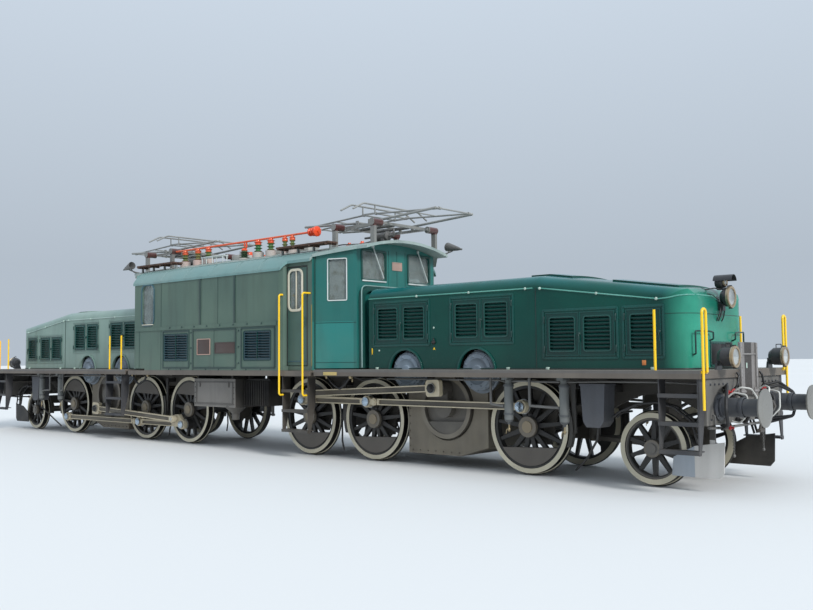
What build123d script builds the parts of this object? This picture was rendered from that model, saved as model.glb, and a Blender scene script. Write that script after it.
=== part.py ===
from build123d import *
import math
import os

# Articulated electric locomotive: a centre body with two cabs, carried on two long-nosed trucks.
# Millimetres. +X runs along the length to the front nose, +Z is up, the left side is -Y.
# The origin is at the bottom of the wheel flanges, in the middle of the length and the width.
# The places along the length hold for one length and spread with it.
# Each truck is drawn once as the front one, and the rear one is the same turned half round.

# Length and running gear
LENGTH_OVER_BUFFERS = 20060
LENGTH_OF_PLACES = 20060
SPREAD = LENGTH_OVER_BUFFERS / LENGTH_OF_PLACES
DRIVER_X = {"outer": 6550 * SPREAD, "middle": 3450 * SPREAD, "inner": 1850 * SPREAD}
CARRYING_X = 8500 * SPREAD
JACKSHAFT_X = (DRIVER_X["outer"] + DRIVER_X["middle"]) / 2
JACKSHAFT_ABOVE_AXLES = 247
PIVOT_X = 2650 * SPREAD
DRIVER_DIAMETER = 1350
CARRYING_DIAMETER = 950
FLANGE_DEPTH = 28
BACK_TO_BACK = 1360
TYRE_WIDTH = 140
TYRE_THICKNESS = 72
AXLE_RADIUS = 90
CARRYING_SHAFT_RADIUS = 75
BORE_CLEARANCE = 0.5

# Wheel centres
RIM_THICKNESS = 42
SPOKE_THICKNESS = 62
DRIVER_SPOKES = 13
CARRYING_SPOKES = 10
DRIVER_HUB_RADIUS = 150
CARRYING_HUB_RADIUS = 115
HUB_FACE_Y = 850

# Cranks and rods
CRANK_RADIUS = 300
PIN_RADIUS = 60
CRANK_BOSS_RADIUS = 110
BOSS_FACE_Y = 912
INNER_ROD_Y = 925
INNER_ROD_THICKNESS = 80
OUTER_ROD_Y = 1060
OUTER_ROD_THICKNESS = 80
ROD_GAP = 8
CAP_THICKNESS = 26
ROD_EYE_RADIUS = 98
ROD_DEPTH = 104
ROD_FLUTE_DEPTH = 22
ROD_FLUTE_EDGE = 17
EYE_PIN_RADIUS = 38
EYE_PIN_CLEARANCE = 0.4
KNUCKLE_OFFSET = 175
SLANT_FOOT_X = 160
SLANT_FOOT_Z = 110
DEEP_ROD_DEPTH = 250
JACK_DISC_RADIUS = 500
CRANK_ANGLE = {"front": 92, "rear": 182}
QUARTERING = 90

# Truck frame
FRAME_INNER_Y = 560
FRAME_PLATE = 40
FRAME_TOP = 1390
FRAME_REAR_X = DRIVER_X["inner"] - 650
BEAM_X = 9380 * SPREAD
BEAM_THICKNESS = 50
BEAM_BOTTOM = 860
BEAM_TOP = 1430
HORN_HALF_WIDTH = 250
HORN_BOTTOM = 440
FRAME_BELLY = 930
PIVOT_PIN_RADIUS = 120
# Lightening windows of the frame plates: centre x, length, top z
FRAME_WINDOWS = ((PIVOT_X, 620, 1180), (JACKSHAFT_X - 850, 420, 1290), (CARRYING_X - 1050, 520, 1290))
BEARING_GAP = 0.5

# Centre body
BODY_HALF_WIDTH = 1475
BODY_WALL = 60
WALL_CORNER_X = 1745 * SPREAD
CORNER_RADIUS = 120
DOOR_PLANE_Y = BODY_HALF_WIDTH - CORNER_RADIUS
DOOR_JAMB_X = (1850 * SPREAD, 2370 * SPREAD)
PANEL_START_X = 2500 * SPREAD
PANEL_START_Y = BODY_HALF_WIDTH - 165
CAB_END_X = 3250 * SPREAD
CAB_END_HALF_WIDTH = 1020
PLAIN_WALL_END_X = 2880 * SPREAD
SILL_BOTTOM = 1430
SILL_TOP = 1520
FLOOR_BOTTOM = 1490
MACHINE_FLOOR_TOP = 1560
CAB_FLOOR_TOP = 1600
SILL_END_DOOR_SIDE = 2560 * SPREAD
SILL_END_PLAIN_SIDE = 3120 * SPREAD
CAB_WALL_BOTTOM = 1560
BULKHEAD_X = 1690 * SPREAD
BULKHEAD_THICKNESS = 40

# Footplate
DECK_TOP = 1540
DECK_THICKNESS = 40
FASCIA_DEPTH = 105
FASCIA_THICKNESS = 22
DECK_HALF_WIDTH = BODY_HALF_WIDTH
DECK_FRONT_X = BEAM_X + 80
DECK_REAR_DOOR_SIDE = SILL_END_DOOR_SIDE + 100
DECK_REAR_PLAIN_SIDE = SILL_END_PLAIN_SIDE + 120
DECK_WELL_HALF_WIDTH = 885
BRACKET_X = [x * SPREAD for x in (3880, 4640, 6250, 7050, 8150, 9150)]
BRACKET_ROOT_Z = 1425
LADDER_STRAP_Y = (DECK_HALF_WIDTH - 220, DECK_HALF_WIDTH - 45)
LADDER_STEP = 345
LADDER_TREADS = 3
BEAM_HALF_WIDTH = LADDER_STRAP_Y[0] - 5

# Bonnet
BONNET_HALF_WIDTH = 950
BONNET_REAR_X = CAB_END_X + 215
BONNET_KINK_X = 6800 * SPREAD
BONNET_FRONT_X = 9120 * SPREAD
NOSE_RADIUS = 350
BROW_RADIUS = 230
BONNET_WALL = 36
SHOULDER_RADIUS = 210
STRIP_Z_REAR = 2715
STRIP_Z_FRONT = 2415
CROWN_Z_REAR = 2940
CROWN_Z_FRONT = 2610
ARCH_RADIUS = 350
MOTOR_X = (DRIVER_X["middle"] + 835, DRIVER_X["outer"] - 830)
MOTOR_Z = 1510

# Roof
ROOF_CROWN = 3790
ROOF_ARC_RADIUS = 3610
STRIP_INNER_Y = BODY_HALF_WIDTH - 245
STRIP_EAVES_Y = BODY_HALF_WIDTH + 15
STRIP_EAVES_Z = 3345
STRIP_BULGE = 33
ARC_HALF_WIDTH = BODY_HALF_WIDTH - 75
ROOF_SHEET = 50
ROOF_OVERHANG_X = CAB_END_X + 300
CAB_EAVES = 55
STRIP_END_X = PLAIN_WALL_END_X + 45
SEAT_GAP = 0.3

# Levels and a reach beyond every surface, for the solids that only cut
UNDER = 1000
OVER = 4000
ASIDE = 2000

# Pantographs
PANTOGRAPH_X = 2980 * SPREAD
ARM_LENGTH = 1450
ARM_PIVOT_HALF_SPACING = 150
ARM_PIVOT_Z = 4130
ARM_REST_ANGLE = 3
LOWER_ARM_Y = 500
UPPER_ARM_Y = 400
HEAD_HALF_WIDTH = 980
HEAD_RISE = 150


def box(x0, x1, y0, y1, z0, z1):
    """A block between two corners."""
    return Pos(x0, y0, z0) * Box(x1 - x0, y1 - y0, z1 - z0, align=(Align.MIN, Align.MIN, Align.MIN))


def round_bar(start, end, radius):
    """A straight round bar between two points."""
    path = Edge.make_line(start, end)
    plane = Plane(origin=start, z_dir=(path % 0))
    return Solid.extrude(Face(Wire([Edge.make_circle(radius, plane)])), Vector(*end) - Vector(*start))


def pipe(points, radius, bend):
    """A bent pipe through the points, its corners turned with one bend radius."""
    path = FilletPolyline(*points, radius=bend)
    plane = Plane(origin=path @ 0, z_dir=path % 0)
    return sweep(Face(Wire([Edge.make_circle(radius, plane)])), path=path)


def disc_y(x, z, radius, y0, y1):
    """A round disc whose axis lies across the vehicle."""
    return round_bar((x, y0, z), (x, y1, z), radius)


def plate_xz(points, y0, y1):
    """A plate cut to an outline of (x, z) points, between two y planes."""
    face = Face(Wire.make_polygon([(x, y0, z) for x, z in points], close=True))
    return Solid.extrude(face, Vector(0, y1 - y0, 0))


def plate_xy(points, z0, z1):
    """A plate cut to an outline of (x, y) points, between two heights."""
    face = Face(Wire.make_polygon([(x, y, z0) for x, y in points], close=True))
    return Solid.extrude(face, Vector(0, 0, z1 - z0))


def plate_yz(points, x0, x1):
    """A plate cut to an outline of (y, z) points, between two x planes."""
    face = Face(Wire.make_polygon([(x0, y, z) for y, z in points], close=True))
    return Solid.extrude(face, Vector(x1 - x0, 0, 0))


def turned(shapes):
    """The same pieces turned half round the vertical axis, for the rear end."""
    return [Rot(0, 0, 180) * shape for shape in shapes]


def mirrored(shapes):
    """The same pieces on the other side."""
    return [mirror(shape, about=Plane.XZ) for shape in shapes]


def fused(shapes):
    """All the shapes as one solid."""
    first, *rest = shapes
    return first.fuse(*rest) if rest else first


def cut(shape, tools):
    """The shape less every tool."""
    return shape.cut(*tools) if tools else shape


def solids_of(shapes):
    """Every solid in a list of shapes."""
    return [solid for shape in shapes for solid in shape.solids()]


def save(name, shapes):
    """Write one node, as one or more solids."""
    solids = solids_of(shapes)
    shape = solids[0] if len(solids) == 1 else Compound(solids)
    export_step(shape, os.path.join("parts", name + ".step"))


DRIVER_RADIUS = DRIVER_DIAMETER / 2
CARRYING_RADIUS = CARRYING_DIAMETER / 2
DRIVER_Z = FLANGE_DEPTH + DRIVER_RADIUS
CARRYING_Z = FLANGE_DEPTH + CARRYING_RADIUS
JACKSHAFT_Z = DRIVER_Z + JACKSHAFT_ABOVE_AXLES
WHEEL_INNER_Y = BACK_TO_BACK / 2
WHEEL_OUTER_Y = WHEEL_INNER_Y + TYRE_WIDTH
PIN_END_Y = INNER_ROD_Y + INNER_ROD_THICKNESS + ROD_GAP


def tyre_and_rim(radius):
    """The rolled tyre with its flange, and the rim that it is shrunk on."""
    inner = radius - TYRE_THICKNESS
    outline = [
        (inner - RIM_THICKNESS, WHEEL_INNER_Y + 18),
        (inner, WHEEL_INNER_Y + 10),
        (inner, WHEEL_INNER_Y),
        (radius + 14, WHEEL_INNER_Y),
        (radius + FLANGE_DEPTH, WHEEL_INNER_Y + 12),
        (radius + FLANGE_DEPTH, WHEEL_INNER_Y + 22),
        (radius, WHEEL_INNER_Y + 38),
        (radius - 5, WHEEL_OUTER_Y),
        (inner, WHEEL_OUTER_Y),
        (inner - 4, WHEEL_OUTER_Y - 14),
        (inner - RIM_THICKNESS, WHEEL_OUTER_Y - 22),
    ]
    face = Face(Wire.make_polygon([(r, y, 0) for r, y in outline], close=True))
    return revolve(face, Axis.Y)


def spokes(radius, hub_radius, count):
    """Flat tapered spokes from the hub to the rim."""
    rim_radius = radius - TYRE_THICKNESS - RIM_THICKNESS + 6
    middle_y = WHEEL_INNER_Y + TYRE_WIDTH / 2
    root, tip = SPOKE_THICKNESS / 2 + 6, SPOKE_THICKNESS / 2 - 8
    start = hub_radius - 12
    outline = [(-root, start), (root, start), (tip, rim_radius), (-tip, rim_radius)]
    spoke = plate_xz(outline, middle_y - SPOKE_THICKNESS / 2, middle_y + SPOKE_THICKNESS / 2)
    return [Rot(0, 360 * number / count, 0) * spoke for number in range(count)]


def counterweight(radius, crank_angle, chord):
    """The cast segment in the wheel, opposite the crank, in front of and between the spokes."""
    rim_radius = radius - TYRE_THICKNESS - RIM_THICKNESS + 4
    disc = disc_y(0, 0, rim_radius, WHEEL_INNER_Y + 26, WHEEL_OUTER_Y - 8)
    keep = box(-rim_radius, rim_radius, WHEEL_INNER_Y, WHEEL_OUTER_Y, -rim_radius, -chord)
    return (disc & keep).rotate(Axis.Y, 90 - crank_angle)


def crank_place(angle, distance=CRANK_RADIUS):
    """Where a pin stands from its axle, for a crank angle up from +X."""
    return distance * math.cos(math.radians(angle)), distance * math.sin(math.radians(angle))


def wheel(radius, hub_radius, spoke_count, crank_angle=None, chord=None):
    """One spoked wheel on the +Y side with its axle along Y through the origin."""
    hub = disc_y(0, 0, hub_radius, WHEEL_INNER_Y - 12, HUB_FACE_Y)
    cap = disc_y(0, 0, hub_radius * 0.55, HUB_FACE_Y, HUB_FACE_Y + 14)
    pieces = [tyre_and_rim(radius), hub, cap] + spokes(radius, hub_radius, spoke_count)
    if crank_angle is not None:
        pin_x, pin_z = crank_place(crank_angle)
        pieces.append(counterweight(radius, crank_angle, chord))
        pieces.append(disc_y(pin_x, pin_z, CRANK_BOSS_RADIUS, WHEEL_INNER_Y + 40, BOSS_FACE_Y))
        pieces.append(disc_y(pin_x, pin_z, PIN_RADIUS, BOSS_FACE_Y, PIN_END_Y))
        pieces.append(disc_y(pin_x, pin_z, PIN_RADIUS + 18, PIN_END_Y, PIN_END_Y + CAP_THICKNESS))
    return fused(pieces)


def wheelset(x, z, left_wheel, right_wheel, shaft_radius):
    """Two wheels and the shaft between their hubs, face to face."""
    hub_face = WHEEL_INNER_Y - 12
    shaft = disc_y(0, 0, shaft_radius, -hub_face, hub_face)
    return [Pos(x, 0, z) * piece for piece in (mirror(left_wheel, about=Plane.XZ), right_wheel, shaft)]


def driving_wheelset(x, left_angle, chord):
    """A driving axle whose right crank follows the left one by the quartering."""
    left = wheel(DRIVER_RADIUS, DRIVER_HUB_RADIUS, DRIVER_SPOKES, left_angle, chord)
    right = wheel(DRIVER_RADIUS, DRIVER_HUB_RADIUS, DRIVER_SPOKES, left_angle + QUARTERING, chord)
    return wheelset(x, DRIVER_Z, left, right, AXLE_RADIUS)


def carrying_wheelset():
    """The small axle under the nose."""
    carrying = wheel(CARRYING_RADIUS, CARRYING_HUB_RADIUS, CARRYING_SPOKES)
    return wheelset(CARRYING_X, CARRYING_Z, carrying, carrying, CARRYING_SHAFT_RADIUS)


DISC_BACK_Y = 722
DISC_FACE_Y = 830
JACK_HUB_RADIUS = 170
JACK_PIN_RADIUS = 72
JACK_PIN_END_Y = OUTER_ROD_Y + OUTER_ROD_THICKNESS + ROD_GAP


def jack_disc(angle):
    """The jackshaft's crank disc: a ringed plate with an open web, a weight, a hub and a long pin."""
    rim = disc_y(0, 0, JACK_DISC_RADIUS, DISC_BACK_Y, DISC_FACE_Y)
    dish = disc_y(0, 0, JACK_DISC_RADIUS - 75, DISC_BACK_Y + 40, DISC_FACE_Y)
    weight = counterweight_disc(angle)
    hub = disc_y(0, 0, JACK_HUB_RADIUS, DISC_BACK_Y, DISC_FACE_Y + 55)
    pin_x, pin_z = crank_place(angle)
    arm = Rot(0, 90 - angle, 0) * box(-105, 105, DISC_BACK_Y + 40, BOSS_FACE_Y - 20, 0, CRANK_RADIUS)
    boss = disc_y(pin_x, pin_z, CRANK_BOSS_RADIUS + 8, DISC_BACK_Y + 40, OUTER_ROD_Y - ROD_GAP)
    pin = disc_y(pin_x, pin_z, JACK_PIN_RADIUS, OUTER_ROD_Y - ROD_GAP, JACK_PIN_END_Y)
    cap = disc_y(pin_x, pin_z, JACK_PIN_RADIUS + 6, JACK_PIN_END_Y, JACK_PIN_END_Y + CAP_THICKNESS)
    return fused([rim.cut(dish), weight, hub, arm, boss, pin, cap])


def counterweight_disc(angle):
    """The weight cast in the dish of the crank disc, opposite its pin."""
    reach = JACK_DISC_RADIUS - 70
    disc = disc_y(0, 0, reach, DISC_BACK_Y + 30, DISC_FACE_Y - 12)
    keep = box(-reach, reach, DISC_BACK_Y, DISC_FACE_Y, -reach, -JACK_HUB_RADIUS - 60)
    return (disc & keep).rotate(Axis.Y, 90 - angle)


def jackshaft(left_angle):
    """The jackshaft with a crank disc on each end."""
    left = mirror(jack_disc(left_angle), about=Plane.XZ)
    right = jack_disc(left_angle + QUARTERING)
    shaft = disc_y(0, 0, AXLE_RADIUS, -DISC_BACK_Y, DISC_BACK_Y)
    return [Pos(JACKSHAFT_X, 0, JACKSHAFT_Z) * piece for piece in (left, right, shaft)]


def fluted_bar(x0, x1, z, depth, y0, thickness):
    """A rod's shank of I section, level, fluted on both faces."""
    shank = box(x0, x1, y0, y0 + thickness, z - depth / 2, z + depth / 2)
    inner = depth / 2 - ROD_FLUTE_EDGE
    length = x1 - x0
    ends = 40
    flutes = [
        box(x0 + ends, x0 + length - ends, y_low, y_low + ROD_FLUTE_DEPTH, z - inner, z + inner)
        for y_low in (y0, y0 + thickness - ROD_FLUTE_DEPTH)
    ]
    return cut(shank, flutes)


def coupling_rod(pins):
    """The deep rod from the inner to the middle pin, with the knuckle that carries the outer rod."""
    y0, y1 = INNER_ROD_Y, INNER_ROD_Y + INNER_ROD_THICKNESS
    inner, middle = pins["inner"], pins["middle"]
    z = inner[1]
    knuckle_x = middle[0] + KNUCKLE_OFFSET
    foot = (inner[0] + SLANT_FOOT_X, z + SLANT_FOOT_Z)
    half = ROD_DEPTH / 2
    top = DEEP_ROD_DEPTH - half
    outline = [
        (inner[0], z - half),
        (middle[0], z - half),
        (middle[0], z + half),
        (foot[0] + 330, z + half + 20),
        (foot[0] + 60, z + top),
        (foot[0] - 50, z + top),
        (inner[0] - 20, z + half + 20),
    ]
    plate = plate_xz(outline, y0, y1)
    slot = box(foot[0] + 190, middle[0] - 150, y0, y0 + ROD_FLUTE_DEPTH, z - half + ROD_FLUTE_EDGE, z + 30)
    slots = [slot, Pos(0, INNER_ROD_THICKNESS - ROD_FLUTE_DEPTH, 0) * slot]
    fork = box(middle[0], knuckle_x, y0, y1, z - 46, z + 46)
    eyes = [disc_y(x, z, ROD_EYE_RADIUS, y0, y1) for x in (inner[0], middle[0])]
    eyes.append(disc_y(knuckle_x, z, 62, y0, y1))
    body = fused([cut(plate, slots), fork] + eyes)
    holes = [disc_y(x, z, PIN_RADIUS + BORE_CLEARANCE, y0, y1) for x in (inner[0], middle[0])]
    gap = box(knuckle_x - 70, knuckle_x + 70, y0 + 20, y1 - 20, z - 70, z + 70)
    body = cut(body, holes + [gap])
    knuckle_pin = disc_y(knuckle_x, z, EYE_PIN_RADIUS, y0 + 2, y1 + 12)
    foot_pin = disc_y(foot[0], foot[1], EYE_PIN_RADIUS, y0 + 10, OUTER_ROD_Y + OUTER_ROD_THICKNESS + 12)
    return fused([body, knuckle_pin, foot_pin]), (knuckle_x, z), foot


def outer_rod(knuckle, pin):
    """The level rod from the knuckle to the outer pin."""
    y0 = INNER_ROD_Y
    tongue_y = (y0 + 24, y0 + INNER_ROD_THICKNESS - 24)
    x, z = knuckle
    shank_start = x + 76
    shank = fluted_bar(shank_start, pin[0] - ROD_EYE_RADIUS + 12, z, ROD_DEPTH, y0, INNER_ROD_THICKNESS)
    tongue = box(x, shank_start, tongue_y[0], tongue_y[1], z - 36, z + 36)
    eye = disc_y(x, z, 56, tongue_y[0], tongue_y[1])
    head = disc_y(pin[0], z, ROD_EYE_RADIUS, y0, y0 + INNER_ROD_THICKNESS)
    body = fused([shank, tongue, eye, head])
    hole = disc_y(pin[0], z, PIN_RADIUS + BORE_CLEARANCE, y0, y0 + INNER_ROD_THICKNESS)
    eye_hole = disc_y(x, z, EYE_PIN_RADIUS + EYE_PIN_CLEARANCE, tongue_y[0], tongue_y[1])
    return cut(body, [hole, eye_hole])


def slanting_rod(foot, crank):
    """The rod from the jackshaft pin down to its foot on the deep rod, with a squared big end."""
    y0, y1 = OUTER_ROD_Y, OUTER_ROD_Y + OUTER_ROD_THICKNESS
    rise = math.degrees(math.atan2(crank[1] - foot[1], crank[0] - foot[0]))
    reach = math.hypot(crank[1] - foot[1], crank[0] - foot[0])
    shank = fluted_bar(50, reach - 100, 0, ROD_DEPTH + 6, y0, OUTER_ROD_THICKNESS)
    big_end = box(reach - 125, reach + 150, y0, y1, -130, 130)
    big_end = fillet(big_end.edges().filter_by(Axis.Y), 45)
    body = fused([shank, big_end, disc_y(0, 0, 74, y0, y1)])
    hole = disc_y(reach, 0, JACK_PIN_RADIUS + BORE_CLEARANCE, y0, y1)
    eye_hole = disc_y(0, 0, EYE_PIN_RADIUS + EYE_PIN_CLEARANCE, y0, y1)
    body = cut(body, [hole, eye_hole])
    return Pos(foot[0], 0, foot[1]) * (Rot(0, -rise, 0) * body)


def rods(angle):
    """All the rods of one side, on the +Y side."""
    pins = {}
    for name, x in DRIVER_X.items():
        pin_x, pin_z = crank_place(angle)
        pins[name] = (x + pin_x, DRIVER_Z + pin_z)
    crank_x, crank_z = crank_place(angle)
    deep, knuckle, foot = coupling_rod(pins)
    crank = (JACKSHAFT_X + crank_x, JACKSHAFT_Z + crank_z)
    return [deep, outer_rod(knuckle, pins["outer"]), slanting_rod(foot, crank)]


def frame_outline():
    """The side plate's outline from the inner end to the beam, with a horn at each driving axle."""
    deck_low = DECK_TOP - DECK_THICKNESS
    points = [(FRAME_REAR_X, FRAME_TOP), (BONNET_REAR_X, FRAME_TOP), (BONNET_REAR_X + 60, deck_low)]
    points += [(BEAM_X, deck_low), (BEAM_X, BEAM_BOTTOM), (BEAM_X - 120, BEAM_BOTTOM)]
    arch_start, arch_end, arch_top = CARRYING_X + 680, CARRYING_X - 800, 1210
    steps = 8
    for step in range(steps + 1):
        share = step / steps
        x = arch_start + (arch_end - arch_start) * share
        points.append((x, FRAME_BELLY + (arch_top - FRAME_BELLY) * math.sin(math.pi * share)))
    for x in sorted(DRIVER_X.values(), reverse=True):
        points += [
            (x + HORN_HALF_WIDTH + 120, FRAME_BELLY),
            (x + HORN_HALF_WIDTH, HORN_BOTTOM),
            (x - HORN_HALF_WIDTH, HORN_BOTTOM),
            (x - HORN_HALF_WIDTH - 120, FRAME_BELLY),
        ]
    points.append((FRAME_REAR_X, FRAME_BELLY))
    return points


def side_plate():
    """One frame plate on the +Y side, with its lightening windows and axle bores."""
    y0, y1 = FRAME_INNER_Y, FRAME_INNER_Y + FRAME_PLATE
    plate = plate_xz(frame_outline(), y0, y1)
    windows = []
    for x, length, high in FRAME_WINDOWS:
        window = box(x - length / 2, x + length / 2, y0 - 5, y1 + 5, FRAME_BELLY + 100, high)
        windows.append(fillet(window.edges().filter_by(Axis.Y), 60))
    bores = [disc_y(x, DRIVER_Z, AXLE_RADIUS + BORE_CLEARANCE, y0 - 5, y1 + 5) for x in DRIVER_X.values()]
    bores.append(disc_y(JACKSHAFT_X, JACKSHAFT_Z, AXLE_RADIUS + BORE_CLEARANCE, y0 - 5, y1 + 5))
    bores += [disc_y(x, MOTOR_Z, MOTOR_NECK_RADIUS, y0 - 5, y1 + 5) for x in MOTOR_X]
    return cut(plate, windows + bores)


def pony_frame():
    """The small frame that carries the nose axle, an A of arms from its own pivot to two cheeks."""
    x, inner = CARRYING_X, FRAME_INNER_Y
    pivot_x = x - 1320
    arm_outline = [(pivot_x, -70), (x - 200, -520), (x - 200, -430), (pivot_x + 150, -20), (pivot_x, -20)]
    arm = plate_xy(arm_outline, 500, 560)
    low, mid, high = 400, 600, 830
    cheek_outline = [(x - 260, low), (x + 260, low), (x + 260, mid), (x + 140, high), (x - 140, high), (x - 260, mid)]
    cheek = plate_xz(cheek_outline, -520, -470)
    bore = disc_y(x, CARRYING_Z, CARRYING_SHAFT_RADIUS + BORE_CLEARANCE, -530, -460)
    half = fused([arm, cut(cheek, [bore])])
    pivot = round_bar((pivot_x, 0, 480), (pivot_x, 0, 1040), 80)
    bridge = box(x - 140, x - 80, -520, 520, 650, 830)
    link = box(x - 170, x - 50, -200, 200, 830, 1220)
    cross = box(x - 220, x, -inner, inner, 1220, 1270)
    carrier = box(pivot_x - 100, pivot_x + 100, -inner, inner, 980, 1040)
    return fused([half, mirror(half, about=Plane.XZ), pivot, bridge, link, cross, carrier])


def truck_frame():
    """The two plates, their stretchers, the pivot bearing and the buffer beam, in one solid."""
    plates = [side_plate()]
    plates += mirrored(plates)
    inner = FRAME_INNER_Y
    bearing_top = SILL_BOTTOM - 30 - BEARING_GAP
    stretchers = [
        box(FRAME_REAR_X, FRAME_REAR_X + 40, -inner, inner, FRAME_BELLY + 60, FRAME_TOP),
        box(GEAR_X[0] - 140, GEAR_X[0] - 100, -inner, inner, FRAME_BELLY + 10, 1055),
        box(CARRYING_X - 940, CARRYING_X - 900, -inner, inner, FRAME_BELLY + 160, FRAME_TOP),
    ]
    bearing = box(PIVOT_X - 260, PIVOT_X + 260, -inner, inner, 1190, bearing_top)
    socket = round_bar((PIVOT_X, 0, 1180), (PIVOT_X, 0, 1400), PIVOT_PIN_RADIUS + BORE_CLEARANCE)
    beam = box(BEAM_X, BEAM_X + BEAM_THICKNESS, -BEAM_HALF_WIDTH, BEAM_HALF_WIDTH, BEAM_BOTTOM, BEAM_TOP)
    gusset = plate_xy([(BEAM_X, 600), (BEAM_X, 1240), (BEAM_X - 420, 600)], 1180, 1220)
    solid = fused(plates + stretchers + [cut(bearing, [socket]), beam, gusset] + mirrored([gusset]))
    return [solid, pony_frame()]


def footplate():
    """The deck round the bonnet with its hanging fascia, brackets and corner ladders."""
    half, inner, low = DECK_HALF_WIDTH, BONNET_HALF_WIDTH + 50, DECK_TOP - DECK_THICKNESS
    outline = [
        (DECK_REAR_DOOR_SIDE, -half),
        (DECK_FRONT_X, -half),
        (DECK_FRONT_X, half),
        (DECK_REAR_PLAIN_SIDE, half),
        (DECK_REAR_PLAIN_SIDE, inner),
        (BONNET_REAR_X, inner),
        (BONNET_REAR_X, -inner),
        (DECK_REAR_DOOR_SIDE, -inner),
    ]
    well_half = DECK_WELL_HALF_WIDTH
    well = box(BONNET_REAR_X - 10, BONNET_FRONT_X - 270, -well_half, well_half, low - 1, DECK_TOP + 1)
    notches = [disc_y(x, MOTOR_Z, ARCH_RADIUS, -BONNET_HALF_WIDTH, BONNET_HALF_WIDTH) for x in MOTOR_X]
    deck = cut(plate_xy(outline, low, DECK_TOP), [well] + notches)
    fascia_low = DECK_TOP - FASCIA_DEPTH
    edge = half - FASCIA_THICKNESS
    fascias = [
        box(DECK_REAR_DOOR_SIDE, DECK_FRONT_X, -half, -edge, fascia_low, low),
        box(DECK_REAR_PLAIN_SIDE, DECK_FRONT_X, edge, half, fascia_low, low),
        box(DECK_FRONT_X - FASCIA_THICKNESS, DECK_FRONT_X, -half, half, fascia_low, low),
    ]
    brackets = []
    root_y = FRAME_INNER_Y + FRAME_PLATE
    for x in BRACKET_X:
        bracket_outline = [(root_y, low), (edge, low), (edge, fascia_low), (root_y, BRACKET_ROOT_Z)]
        bracket = plate_yz(bracket_outline, x, x + 18)
        brackets += [bracket] + mirrored([bracket])
    front_ladder = ladder(DECK_FRONT_X - 570, DECK_FRONT_X - 50, 510, low)
    rear_ladder = ladder(BONNET_REAR_X - 25, BONNET_REAR_X + 615, 540, low)
    ladders = [front_ladder, mirror(front_ladder, about=Plane.XZ), rear_ladder]
    return [fused([deck] + fascias + brackets + ladders)]


def ladder(x0, x1, foot_z, top_z):
    """Two hanging straps and their lipped treads, on the +Y side."""
    inner, outer = LADDER_STRAP_Y
    outline = [(inner, top_z), (outer, top_z), (outer, foot_z), (outer - 60, foot_z), (inner, foot_z + 500)]
    straps = [plate_yz(outline, x, x + 16) for x in (x0, x1 - 16)]
    treads = []
    for number in range(LADDER_TREADS):
        z = foot_z + 5 + LADDER_STEP * number
        treads.append(box(x0, x1, inner + 30, outer + 20, z + 32, z + 48))
        treads.append(box(x0, x1, outer + 6, outer + 20, z, z + 48))
    return fused(straps + treads)


def bonnet_section(x, strip_z, crown_z, inset):
    """The bonnet's cross-section at one x: upright sides, round shoulders and a low crown."""
    half = BONNET_HALF_WIDTH - inset
    strip, crown = strip_z - inset, crown_z - inset
    shoulder = SHOULDER_RADIUS - inset / 2
    lean = 40
    knee_y, knee_z = half - shoulder * 0.29, strip + shoulder * 0.60
    flat_y, flat_z = half - shoulder, strip + (crown - strip) - lean
    base = DECK_TOP if inset == 0 else DECK_TOP - 200
    with_plane = Plane(origin=(x, 0, 0), x_dir=(0, 1, 0), z_dir=(1, 0, 0))
    edges = [
        Line((half, base), (half, strip)),
        ThreePointArc((half, strip), (knee_y, knee_z), (flat_y, flat_z)),
        ThreePointArc((flat_y, flat_z), (0, crown), (-flat_y, flat_z)),
        ThreePointArc((-flat_y, flat_z), (-knee_y, knee_z), (-half, strip)),
        Line((-half, strip), (-half, base)),
        Line((-half, base), (half, base)),
    ]
    return with_plane * make_face(edges)


def bonnet_body(inset):
    """The bonnet's filled form, level behind the kink and falling towards the rounded nose."""
    rear, front = BONNET_REAR_X + inset, BONNET_FRONT_X - inset
    slope = (STRIP_Z_FRONT - STRIP_Z_REAR) / (BONNET_FRONT_X - BONNET_KINK_X)
    crown_slope = (CROWN_Z_FRONT - CROWN_Z_REAR) / (BONNET_FRONT_X - BONNET_KINK_X)
    beyond = front - BONNET_KINK_X
    sections = [
        bonnet_section(rear, STRIP_Z_REAR, CROWN_Z_REAR, inset),
        bonnet_section(BONNET_KINK_X, STRIP_Z_REAR, CROWN_Z_REAR, inset),
    ]
    level = loft(sections, ruled=True)
    end = bonnet_section(front, STRIP_Z_REAR + slope * beyond, CROWN_Z_REAR + crown_slope * beyond, inset)
    falling = loft([sections[1], end], ruled=True)
    half = BONNET_HALF_WIDTH - inset
    plan = box(rear, front, -half, half, UNDER, OVER)
    corner = [edge for edge in plan.edges().filter_by(Axis.Z) if edge.center().X > front - 1]
    plan = fillet(corner, NOSE_RADIUS - inset)
    crown_rear, crown_front = CROWN_Z_REAR - inset, CROWN_Z_REAR - inset + crown_slope * beyond
    side_outline = [(rear, UNDER), (rear, crown_rear + 1), (BONNET_KINK_X, crown_rear + 1)]
    side_outline += [(front, crown_front + 1), (front, UNDER)]
    side_view = plate_xz(side_outline, -half, half)
    front_edges = [edge for edge in side_view.edges().filter_by(Axis.Y) if edge.center().X > front - 1]
    brow = [edge for edge in front_edges if edge.center().Z > UNDER + 1]
    return level.fuse(falling) & plan & fillet(brow, BROW_RADIUS - inset)


# Louvred leaves in each bonnet side: first x, last x, bottom z, top z, leaves
BONNET_LEAVES = (
    (3607, 4755, 1959, 2617, 2),
    (5255, 6370, 1959, 2617, 2),
    (6956, 8065, 1725, 2347, 2),
    (8215, 8728, 1725, 2347, 1),
)
LEAF_BORDER = 75
LEAF_BACK = 4
LEAF_GAP = 0.2
LOUVRE_SLATS = 9


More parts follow.
